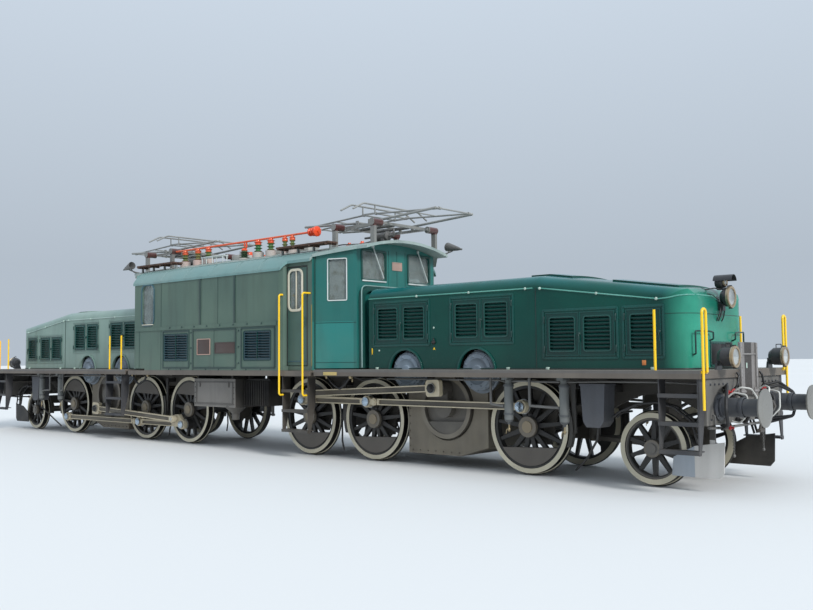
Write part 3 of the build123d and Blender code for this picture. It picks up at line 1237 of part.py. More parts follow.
INSULATOR_ROW_Y = -760
BUSBAR_Z = ROOF_CROWN + 255
BUSBAR_RADIUS = 20
BUSBAR_X = (-2430 * SPREAD, 2030 * SPREAD)
BUSHING_X = -115 * SPREAD
BUSHING_RADIUS = 105
BUSHING_Z = (ROOF_CROWN - 70, ROOF_CROWN + 75)
PEDESTAL_TOP = ROOF_CROWN + 10
SHEDS = 4


def insulator(x, y, z0, z1, radius, sheds):
    """A ribbed upright insulator from the roof to its cap."""
    pitch = (z1 - z0) / sheds
    profile = [(0, z0)]
    for number in range(sheds):
        base = z0 + pitch * number
        profile += [(radius * 0.55, base), (radius, base + pitch * 0.35), (radius * 0.55, base + pitch * 0.7)]
    profile += [(radius * 0.5, z1), (0, z1)]
    face = Face(Wire.make_polygon([(r, 0, z) for r, z in profile], close=True))
    return Pos(x, y, 0) * revolve(face, Axis.Z)


# Insulators along the busbar: x, radius
BUSBAR_INSULATORS = ((-2100, 80), (-1650, 80), (-1290, 80), (310, 85), (690, 80), (1100, 60), (1310, 60))


def insulators_and_busbar():
    """The insulators on their pedestals, with the high-voltage bar on top."""
    y = INSULATOR_ROW_Y
    surface = roof_surface_z(y) - 120
    stacks = []
    for place, radius in BUSBAR_INSULATORS:
        x = place * SPREAD
        pedestal = round_bar((x, y, surface), (x, y, PEDESTAL_TOP), radius + 25)
        stacks += [pedestal, insulator(x, y, PEDESTAL_TOP, BUSBAR_Z - 10, radius, SHEDS)]
    bar = round_bar((BUSBAR_X[0], y, BUSBAR_Z), (BUSBAR_X[1], y, BUSBAR_Z), BUSBAR_RADIUS)
    x, (foot, top) = BUSHING_X, BUSHING_Z
    bushing = [round_bar((x, y, surface), (x, y, foot), BUSHING_RADIUS + 20),
               insulator(x, y, foot, top, BUSHING_RADIUS, SHEDS),
               round_bar((x, y, top - 10), (x, y, BUSBAR_Z), BUSBAR_RADIUS - 6)]
    return [cut(fused(stacks + [bar] + bushing), under_roof(0, CAB_EAVES))]


FOOT_X = 470
FOOT_Y = 750
BASE_Z = (ARM_PIVOT_Z - 90, ARM_PIVOT_Z - 45)


def pantograph_base():
    """The fixed frame on four lying insulators, with the bearings of the lower arms."""
    x, low, high = PANTOGRAPH_X, BASE_Z[0], BASE_Z[1]
    bar_y = LOWER_ARM_Y + 90
    pieces = [box(x - FOOT_X - 30, x + FOOT_X + 30, y - 25, y + 25, low, high) for y in (-bar_y, bar_y)]
    pieces += [box(x + offset - 25, x + offset + 25, -LOWER_ARM_Y - 115, LOWER_ARM_Y + 115, low, high)
               for offset in (-FOOT_X, FOOT_X)]
    for side in (-1, 1):
        for offset in (-FOOT_X, FOOT_X):
            foot_x = x + offset
            y0, y1 = side * (LOWER_ARM_Y + 110), side * (FOOT_Y + 110)
            pieces.append(round_bar((foot_x, y0, low + 20), (foot_x, y1, low + 20), 62))
            stand_y = side * (FOOT_Y + 60)
            foot_z = roof_surface_z(FOOT_Y + 60) - 60
            pieces.append(box(foot_x - 45, foot_x + 45, stand_y - 30, stand_y + 30, foot_z, low + 20))
    for offset in (-ARM_PIVOT_HALF_SPACING, ARM_PIVOT_HALF_SPACING):
        for side in (-1, 1):
            y = side * (LOWER_ARM_Y + 70)
            lug = box(x + offset - 30, x + offset + 30, y - 12, y + 12, low, ARM_PIVOT_Z + 34)
            bore = disc_y(x + offset, ARM_PIVOT_Z, 18.5, y - 20, y + 20)
            pieces.append(cut(lug, [bore]))
    return cut(fused(pieces), under_roof(0, CAB_EAVES))


def lower_arm_ends(sign):
    """The pivot and the knee of a lower arm at rest."""
    angle = math.radians(ARM_REST_ANGLE)
    x0 = PANTOGRAPH_X + sign * ARM_PIVOT_HALF_SPACING
    knee = (x0 + sign * ARM_LENGTH * math.cos(angle), ARM_PIVOT_Z + ARM_LENGTH * math.sin(angle))
    return x0, knee


def lower_arm(sign):
    """One lower arm: a cross shaft in the base bearings and two tubes out to the knee."""
    x0, knee = lower_arm_ends(sign)
    shaft = disc_y(x0, ARM_PIVOT_Z, 18, -LOWER_ARM_Y - 86, LOWER_ARM_Y + 86)
    tubes = [round_bar((x0, y, ARM_PIVOT_Z), (knee[0], y, knee[1]), 22) for y in (-LOWER_ARM_Y, LOWER_ARM_Y)]
    knee_shaft = disc_y(knee[0], knee[1], 14, -LOWER_ARM_Y, LOWER_ARM_Y)
    return fused([shaft, knee_shaft] + tubes)


def upper_arm(sign):
    """One upper arm: two tubes on sleeves at the knee, back to the head's pivot."""
    head_x, knee = lower_arm_ends(sign)
    head_z = knee[1] + (knee[1] - ARM_PIVOT_Z)
    pieces = []
    for y in (-UPPER_ARM_Y, UPPER_ARM_Y):
        tube = round_bar((knee[0], y, knee[1]), (head_x, y, head_z), 16)
        sleeve = disc_y(knee[0], knee[1], 26, y - 24, y + 24)
        eye = disc_y(head_x, head_z, 26, y - 16, y + 16)
        holes = [disc_y(knee[0], knee[1], 14.5, y - 60, y + 60), disc_y(head_x, head_z, 14.5, y - 60, y + 60)]
        pieces.append(cut(fused([tube, sleeve, eye]), holes))
    tie_x, tie_z = (knee[0] + head_x) / 2, (knee[1] + head_z) / 2
    pieces.append(disc_y(tie_x, tie_z, 12, -UPPER_ARM_Y, UPPER_ARM_Y))
    return fused(pieces)


def pantograph_head():
    """The head: a frame on the upper arms' pins and two collector strips with turned-down horns."""
    head_z = ARM_PIVOT_Z + 2 * ARM_LENGTH * math.sin(math.radians(ARM_REST_ANGLE))
    x, half = PANTOGRAPH_X, ARM_PIVOT_HALF_SPACING
    pins = [disc_y(x + offset, head_z, 14, -UPPER_ARM_Y - 30, UPPER_ARM_Y + 30) for offset in (-half, half)]
    ties = [box(x - half - 16, x + half + 16, y - 9, y + 9, head_z - 16, head_z + 16)
            for y in (-UPPER_ARM_Y - 32, UPPER_ARM_Y + 32)]
    posts = [box(x + offset - 10, x + offset + 10, y - 9, y + 9, head_z, head_z + HEAD_RISE)
             for offset in (-half, half) for y in (-UPPER_ARM_Y - 32, UPPER_ARM_Y + 32)]
    strips = []
    for offset in (-half, half):
        points = [(x + offset, -HEAD_HALF_WIDTH, head_z + 20), (x + offset, -720, head_z + HEAD_RISE),
                  (x + offset, 720, head_z + HEAD_RISE), (x + offset, HEAD_HALF_WIDTH, head_z + 20)]
        strips.append(pipe(points, 16, 200))
    return fused(pins + ties + posts + strips)


def underfloor_boxes():
    """The equipment hung under the centre body between the trucks."""
    outer, top = BODY_HALF_WIDTH - 175, 1360
    case_x, core_x = (-990 * SPREAD, 300 * SPREAD), (350 * SPREAD, 1060 * SPREAD)
    case = box(case_x[0], case_x[1], -outer, -700, 820, top)
    hangers = [box(x, x + 30, -outer + 10, -720, top, FLOOR_BOTTOM) for x in (case_x[0] + 90, case_x[1] - 120)]
    rib_count = 14
    pitch = (core_x[1] - core_x[0] - 24) / (rib_count - 1)
    places = [core_x[0] + 5 + pitch * number for number in range(rib_count)]
    ribs = [box(x, x + 14, -outer + 170, -640, 860, top - 30) for x in places]
    core = box(core_x[0], core_x[1], -outer + 210, -680, 880, top)
    lugs = [box(x, x + 30, -outer + 220, -690, top, FLOOR_BOTTOM) for x in (core_x[0] + 70, core_x[1] - 100)]
    pieces = [fused([case] + hangers), fused([core] + ribs + lugs)]
    return pieces + turned(pieces)


def truck_nodes():
    """The fixed nodes of one truck, drawn as the front one."""
    return {
        "truck_frame": truck_frame(),
        "footplate": footplate(),
        "bonnet": bonnet(),
        "bonnet_louvres": bonnet_leaves(),
        "drive": drive(),
        "end_gear": end_gear(),
        "lamps": lamps(),
        "truck_handrails": truck_handrails(),
        "under_gear": under_gear(),
    }


def running_nodes(end):
    """The axles, jackshaft and rods of one truck at its own crank angle."""
    angle = CRANK_ANGLE[end]
    nodes = {"driver_axle_" + name: driving_wheelset(x, angle, 300) for name, x in DRIVER_X.items()}
    nodes["carrying_axle"] = carrying_wheelset()
    nodes["jackshaft"] = jackshaft(angle)
    nodes["rods_near"] = mirrored(rods(angle))
    nodes["rods_far"] = rods(angle + QUARTERING)
    return nodes


def main():
    os.makedirs("parts", exist_ok=True)
    shared = truck_nodes()
    for end, place in (("front", list), ("rear", turned)):
        for name, shapes in {**shared, **running_nodes(end)}.items():
            save(name + "_" + end, place(solids_of(shapes)))
        for sign, arm in ((1, "outer"), (-1, "inner")):
            save("pantograph_lower_arm_" + arm + "_" + end, place([lower_arm(sign)]))
            save("pantograph_upper_arm_" + arm + "_" + end, place([upper_arm(sign)]))
        save("pantograph_head_" + end, place([pantograph_head()]))
        save("cab_door_" + end, place(cab_door()))
        save("cab_door_glass_" + end, place(cab_door_glass()))
    left, front_end = side_walls_and_ends()
    front_end = [fused(front_end + [gaiter_ring()])]
    save("side_walls", left + turned(left))
    save("end_walls", front_end + turned(front_end))
    save("roof", roof())
    save("body_frame", body_frame())
    save("body_handrails", body_handrails())
    save("body_glass", body_glass())
    save("body_louvres", body_louvres())
    save("bulkheads", bulkheads())
    save("cab_fittings", cab_fittings())
    save("transformer", transformer())
    save("roof_walkways", roof_walkways())
    save("roof_busbar", insulators_and_busbar())
    save("pantograph_bases", [pantograph_base()] + turned([pantograph_base()]))
    save("underfloor_boxes", underfloor_boxes())


main()
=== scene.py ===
import math
import bpy
from mathutils import Matrix, Vector


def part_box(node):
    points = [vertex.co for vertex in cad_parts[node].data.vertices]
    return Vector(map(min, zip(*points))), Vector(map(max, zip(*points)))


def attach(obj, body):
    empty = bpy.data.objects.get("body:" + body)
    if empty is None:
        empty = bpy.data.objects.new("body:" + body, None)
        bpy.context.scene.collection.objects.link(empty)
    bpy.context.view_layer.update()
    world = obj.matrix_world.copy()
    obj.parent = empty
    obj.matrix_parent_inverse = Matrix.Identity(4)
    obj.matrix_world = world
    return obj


# The finish and the small fittings of an articulated electric locomotive: a centre body on two long-nosed
# trucks. Metres, +X to the front nose, the photographed side is -Y. Each fitting is made once, for the left
# side of the front half. The rear half has the same ones turned half round, as the solids are, and a fitting
# of both sides is mirrored too.

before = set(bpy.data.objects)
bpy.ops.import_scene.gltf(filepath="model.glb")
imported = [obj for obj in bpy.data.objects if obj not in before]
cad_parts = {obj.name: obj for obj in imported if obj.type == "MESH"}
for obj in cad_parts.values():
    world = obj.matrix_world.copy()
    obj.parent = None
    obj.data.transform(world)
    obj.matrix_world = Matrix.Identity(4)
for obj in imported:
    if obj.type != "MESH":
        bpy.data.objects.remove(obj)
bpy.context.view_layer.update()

ENDS = ("front", "rear")
HALF_TURN = Matrix.Rotation(math.pi, 4, "Z")
MIRROR = Matrix.Scale(-1, 4, Vector((0, 1, 0)))
FORWARD, LEFT, RIGHT, UP, DOWN = (1, 0, 0), (0, -1, 0), (0, 1, 0), (0, 0, 1), (0, 0, -1)

# Camera and stage
CAMERA_PLACE = (14.0065, -11.9094, 1.7081)
CAMERA_YAW = 0.7242
CAMERA_PITCH = 0.0598
CAMERA_ROLL = -0.0088
IMAGE_WIDTH = 813
FOCAL_PIXELS = 901.67
SENSOR = 36

# Driving sizes read from the frame
DECK_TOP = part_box("footplate_front")[1].z
BONNET_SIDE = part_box("bonnet_front")[1].y
BONNET_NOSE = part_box("bonnet_front")[1].x
BONNET_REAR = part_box("bonnet_front")[0].x
BONNET_SKIN = -BONNET_SIDE

# Planes and lines of the front half that fittings sit on
BODY_SKIN = -1.475
DOOR_SKIN = -1.355
CASE_SKIN = -1.30
GEAR_CASE_SKIN = -0.782
CAB_END_X = 3.250
BEAM_FACE = 9.43
PLATE_FACE = 9.4785
TANK_Y = -1.215
BUSBAR_Y = -0.76
DECK_LAMP_X = 9.670
NOSE_LAMP_X = 9.290

# Angles between faces, in radians: smooth shading up to the first, rounded edges from the second
SMOOTH_BELOW = 0.7
SHARP_ABOVE = 0.8


def linear(share):
    """One colour channel from its screen value, 0 to 1, to the linear value."""
    return share / 12.92 if share <= 0.04045 else ((share + 0.055) / 1.055) ** 2.4


def tone(red, green, blue):
    """A colour as it looks on a screen, 0 to 255 each, for a shader."""
    return (*[linear(value / 255) for value in (red, green, blue)], 1.0)


DUST = tone(142, 135, 123)
SOOT = tone(34, 31, 29)
BRIGHT_STEEL = tone(176, 178, 178)


class Finish:
    """A material being built: its nodes, and short ways to add and join them."""

    def __init__(self, name):
        self.material = bpy.data.materials.new(name)
        self.material.use_nodes = True
        self.tree = self.material.node_tree
        self.shader = self.tree.nodes["Principled BSDF"]
        self.place = self.add("ShaderNodeTexCoord").outputs["Object"]
        self.readings = {}

    def add(self, kind, sockets=None, **settings):
        made = self.tree.nodes.new(kind)
        for key, value in settings.items():
            setattr(made, key, value)
        for key, value in (sockets or {}).items():
            self.put(made.inputs[key], value)
        return made

    def put(self, socket, value):
        if isinstance(value, bpy.types.NodeSocket):
            self.tree.links.new(value, socket)
        else:
            socket.default_value = value

    def math(self, operation, first, second=0.0):
        return self.add("ShaderNodeMath", {0: first, 1: second}, operation=operation).outputs[0]

    def noise(self, scale, detail=4.0, stretch=(1, 1, 1)):
        place = self.add("ShaderNodeMapping", {"Vector": self.place, "Scale": stretch}).outputs[0]
        made = self.add("ShaderNodeTexNoise", {"Vector": place, "Scale": scale, "Detail": detail})
        return made.outputs[0]

    def span(self, value, low, high, to_low=0.0, to_high=1.0):
        sockets = {"Value": value, "From Min": low, "From Max": high, "To Min": to_low, "To Max": to_high}
        return self.add("ShaderNodeMapRange", sockets).outputs[0]

    def mix(self, share, first, second):
        made = self.add("ShaderNodeMix", data_type="RGBA")
        for index, value in ((0, share), (6, first), (7, second)):
            self.put(made.inputs[index], value)
        return made.outputs[2]

    def read(self, key, centre=None):
        """A reading of the surface: its place (x, y, z), how far it is from the middle (ax, ay), how much it
        faces along an axis (nx, ny, nz), its distance from an axle (r), or its side and end (side)."""
        if (key, centre) in self.readings:
            return self.readings[(key, centre)]
        if key in ("x", "y", "z"):
            parts = self.add("ShaderNodeSeparateXYZ", {0: self.place})
            value = parts.outputs["xyz".index(key)]
        elif key in ("ax", "ay"):
            value = self.math("ABSOLUTE", self.read(key[1]))
        elif key in ("nx", "ny", "nz"):
            normal = self.add("ShaderNodeNewGeometry").outputs["True Normal"]
            turned = self.add("ShaderNodeVectorTransform", {0: normal}, vector_type="NORMAL",
                              convert_from="WORLD", convert_to="OBJECT").outputs[0]
            parts = self.add("ShaderNodeSeparateXYZ", {0: turned})
            value = self.math("ABSOLUTE", parts.outputs["xyz".index(key[1])])
        elif key == "r":
            along = self.math("SUBTRACT", self.read("ax"), centre[0])
            up = self.math("SUBTRACT", self.read("z"), centre[1])
            square = self.math("ADD", self.math("MULTIPLY", along, along), self.math("MULTIPLY", up, up))
            value = self.math("SQRT", square)
        else:
            value = self.math("MULTIPLY", self.read("x"), self.read("y"))
        self.readings[(key, centre)] = value
        return value

    def zone(self, **limits):
        """One inside every given (low, high), else nothing. A centre goes with r."""
        centre = limits.pop("centre", None)
        share = None
        for key, (low, high) in limits.items():
            value = self.read(key, centre if key == "r" else None)
            inside = self.math("MULTIPLY", self.math("GREATER_THAN", value, low),
                               self.math("LESS_THAN", value, high))
            share = inside if share is None else self.math("MULTIPLY", share, inside)
        return share


def painted(name, colour, faded, zones=(), rough=(0.32, 0.55), dust=0.35, dust_top=2.0, dust_foot=0.4,
            streaks=0.25, metallic=0.0, metal_zones=(), coat=0.0, chips=0.0, painted_sky_sheen=None, painted_sunlit_tip=None, shine=0.5):
    """Weathered paint or metal: patches of fading, rain streaks, dust that thickens downwards, fine grain.
    Where given, a painted sky reflection on upward faces and painted sunlight towards the nose.
    """
    made = Finish(name)
    patches = made.span(made.noise(0.8, 6.0), 0.35, 0.68)
    base = made.mix(patches, colour, faded)
    for limits, zone_colour in zones:
        tinted = made.mix(made.math("MULTIPLY", patches, 0.25), zone_colour, faded)
        base = made.mix(made.zone(**limits), base, tinted)
    # Painted reflection: upward faces are mixed towards a sky-blue colour
    if painted_sky_sheen:
        base = made.mix(made.span(made.read("nz"), 0.25, 1.0, 0.0, 0.75), base,
                        made.mix(patches, painted_sky_sheen, faded))
    # Painted light: the colour turns lighter along x towards the nose, for sunlight on its front
    if painted_sunlit_tip:
        start, stop, sunlit_colour = painted_sunlit_tip
        base = made.mix(made.span(made.read("ax"), start, stop), base, made.mix(patches, sunlit_colour, faded))
    upright = made.math("SUBTRACT", 1.0, made.read("nz"))
    streak = made.span(made.noise(5.0, 5.0, (1, 1, 0.12)), 0.48, 0.80, 0.0, streaks)
    base = made.mix(made.math("MULTIPLY", streak, upright), base, SOOT)
    height = made.span(made.read("z"), dust_foot, dust_top, 1.0, 0.12)
    cloud = made.span(made.noise(2.6, 8.0), 0.30, 0.75)
    cover = made.math("MULTIPLY", made.math("MULTIPLY", height, cloud), dust)
    cover = made.math("ADD", cover, made.math("MULTIPLY", made.read("nz"), dust * 0.35))
    base = made.mix(cover, base, DUST)
    fine = made.noise(70.0, 3.0)
    if chips:
        spots = made.span(made.noise(38.0, 4.0), 0.735 - chips, 0.75 - chips)
        base = made.mix(made.math("MULTIPLY", spots, 0.8), base, tone(74, 52, 40))
    made.put(made.shader.inputs["Base Color"], base)
    gloss = made.math("ADD", made.span(fine, 0.3, 0.7, rough[0], rough[1]),
                      made.math("MULTIPLY", cover, 0.35))
    made.put(made.shader.inputs["Roughness"], gloss)
    if metal_zones:
        share = made.zone(**metal_zones[0])
        for limits in metal_zones[1:]:
            share = made.math("MAXIMUM", share, made.zone(**limits))
        made.put(made.shader.inputs["Metallic"], made.math("MULTIPLY", share, 0.85))
    else:
        made.shader.inputs["Metallic"].default_value = metallic
    made.shader.inputs["Specular IOR Level"].default_value = shine
    if coat:
        made.shader.inputs["Coat Weight"].default_value = coat
        made.shader.inputs["Coat Roughness"].default_value = 0.12
    slow = made.add("ShaderNodeBump", {"Height": made.noise(1.7, 2.0), "Strength": 0.2, "Distance": 0.004})
    grainy = made.add("ShaderNodeBump", {"Height": fine, "Strength": 0.3, "Distance": 0.0006,
                                         "Normal": slow.outputs[0]})
    made.put(made.shader.inputs["Normal"], grainy.outputs[0])
    return made.material


def clear_glass():
    """Cab glass with a little dirt low in each pane."""
    made = Finish("cab_glass")
    dirt = made.span(made.noise(9.0, 6.0), 0.45, 0.8)
    made.put(made.shader.inputs["Base Color"], made.mix(dirt, tone(206, 218, 214), tone(176, 180, 168)))
    made.put(made.shader.inputs["Roughness"], made.span(dirt, 0.0, 1.0, 0.02, 0.16))
    made.shader.inputs["Transmission Weight"].default_value = 0.80
    made.shader.inputs["IOR"].default_value = 1.45
    return made.material


def lamp_glass():
    """The fluted glass of a headlamp over its bright reflector."""
    made = Finish("lamp_glass")
    wave = made.add("ShaderNodeTexWave", {"Vector": made.place, "Scale": 9.0, "Distortion": 0.4},
                    bands_direction="Y").outputs[1]
    shade = made.span(made.noise(4.0, 3.0), 0.3, 0.7)
    made.put(made.shader.inputs["Base Color"], made.mix(shade, tone(206, 208, 204), tone(128, 134, 134)))
    made.shader.inputs["Roughness"].default_value = 0.08
    made.shader.inputs["Metallic"].default_value = 0.6
    ribs = made.add("ShaderNodeBump", {"Height": wave, "Strength": 0.5, "Distance": 0.003})
    made.put(made.shader.inputs["Normal"], ribs.outputs[0])
    return made.material


def planks():
    """Dark weathered planks with grain along the vehicle, on grey posts."""
    made = Finish("walkway_planks")
    grain = made.noise(14.0, 7.0, (0.35, 6, 6))
    wood = made.mix(made.span(grain, 0.3, 0.75), tone(38, 25, 20), tone(104, 74, 58))
    post = made.zone(z=(3.0, 3.698))
    made.put(made.shader.inputs["Base Color"], made.mix(post, wood, tone(120, 126, 124)))
    made.put(made.shader.inputs["Roughness"], made.span(grain, 0.3, 0.7, 0.6, 0.85))
    lift = made.add("ShaderNodeBump", {"Height": grain, "Strength": 0.6, "Distance": 0.003})
    made.put(made.shader.inputs["Normal"], lift.outputs[0])
    return made.material


GREEN = tone(0, 60, 52)
GREEN_FADED = tone(4, 74, 63)
DULL_GREEN = tone(72, 95, 84)
DULL_GREEN_FADED = tone(84, 106, 92)
TEAL = tone(18, 96, 90)
TEAL_FADED = tone(30, 112, 104)
STRIP_GREEN = tone(102, 142, 140)
LOUVRE_BLUE = tone(14, 48, 58)
FASCIA_BROWN = tone(88, 80, 73)
PALE_EDGE = tone(94, 91, 88)
GREY = tone(112, 115, 113)
CREAM = tone(206, 198, 174)
LAMP_CREAM = tone(184, 172, 146)
# Dark wheel paint, made darker still as painted shade over the spokes
DARK_WHEEL_AND_SHADE = tone(19, 19, 20)
YELLOW = tone(245, 196, 10)

# Limits that zones of paint share: the sign of x times y tells which side of which end a place is on
DOOR_SIDE, PLAIN_SIDE = (-99, 0), (0, 99)
SIDEWAYS = (0.5, 2)
RAIL_GUARD = {"ax": (8.76, 9.50), "ay": (0.858, 0.886), "z": (0.15, 0.66)}
LAMP_BEZELS = [{"ax": (9.632, 9.68), "z": (1.5, 1.9)}, {"ax": (9.252, 9.30), "z": (2.35, 2.65)}]

DRIVER_PLACES = {"outer": 6.55, "middle": 3.45, "inner": 1.85}
DRIVER_HEIGHT = 0.703
DRIVER_TREAD = 0.675
CARRYING_PLACE = (8.5, 0.503)
CARRYING_TREAD = 0.475
JACK_PLACE = (5.0, 0.950)


def wheel_finish(name, centre, tread):
    """Cream tyre face, worn tread, dark spokes darkened further as painted shade, and a tan hub cap, by the
    distance from the axle.
    """
    cap = tone(146, 132, 108) if tread > 0.6 else tone(112, 108, 102)
    zones = [
        ({"r": (tread - 0.075, tread + 0.012), "ny": (0.55, 2), "centre": centre}, CREAM),
        ({"r": (0.0, 0.088), "ay": (0.845, 2), "centre": centre}, cap),
        ({"r": (0.088, 0.17), "ay": (0.80, 0.90), "centre": centre}, tone(118, 110, 98)),
        ({"r": (0.17, 0.575), "ay": (0.802, 0.818), "ny": SIDEWAYS, "centre": centre}, tone(92, 86, 79)),
        ({"ay": (0.905, 2.0)}, BRIGHT_STEEL),
    ]
    worn = [{"r": (tread - 0.010, tread + 0.004), "ny": (-1, 0.5), "centre": centre}, {"ay": (0.905, 2.0)}]
    return painted(name, DARK_WHEEL_AND_SHADE, tone(30, 29, 28), zones, dust=0.14, dust_top=1.4, dust_foot=0.0,
                   metal_zones=worn, rough=(0.35, 0.6), streaks=0.1)


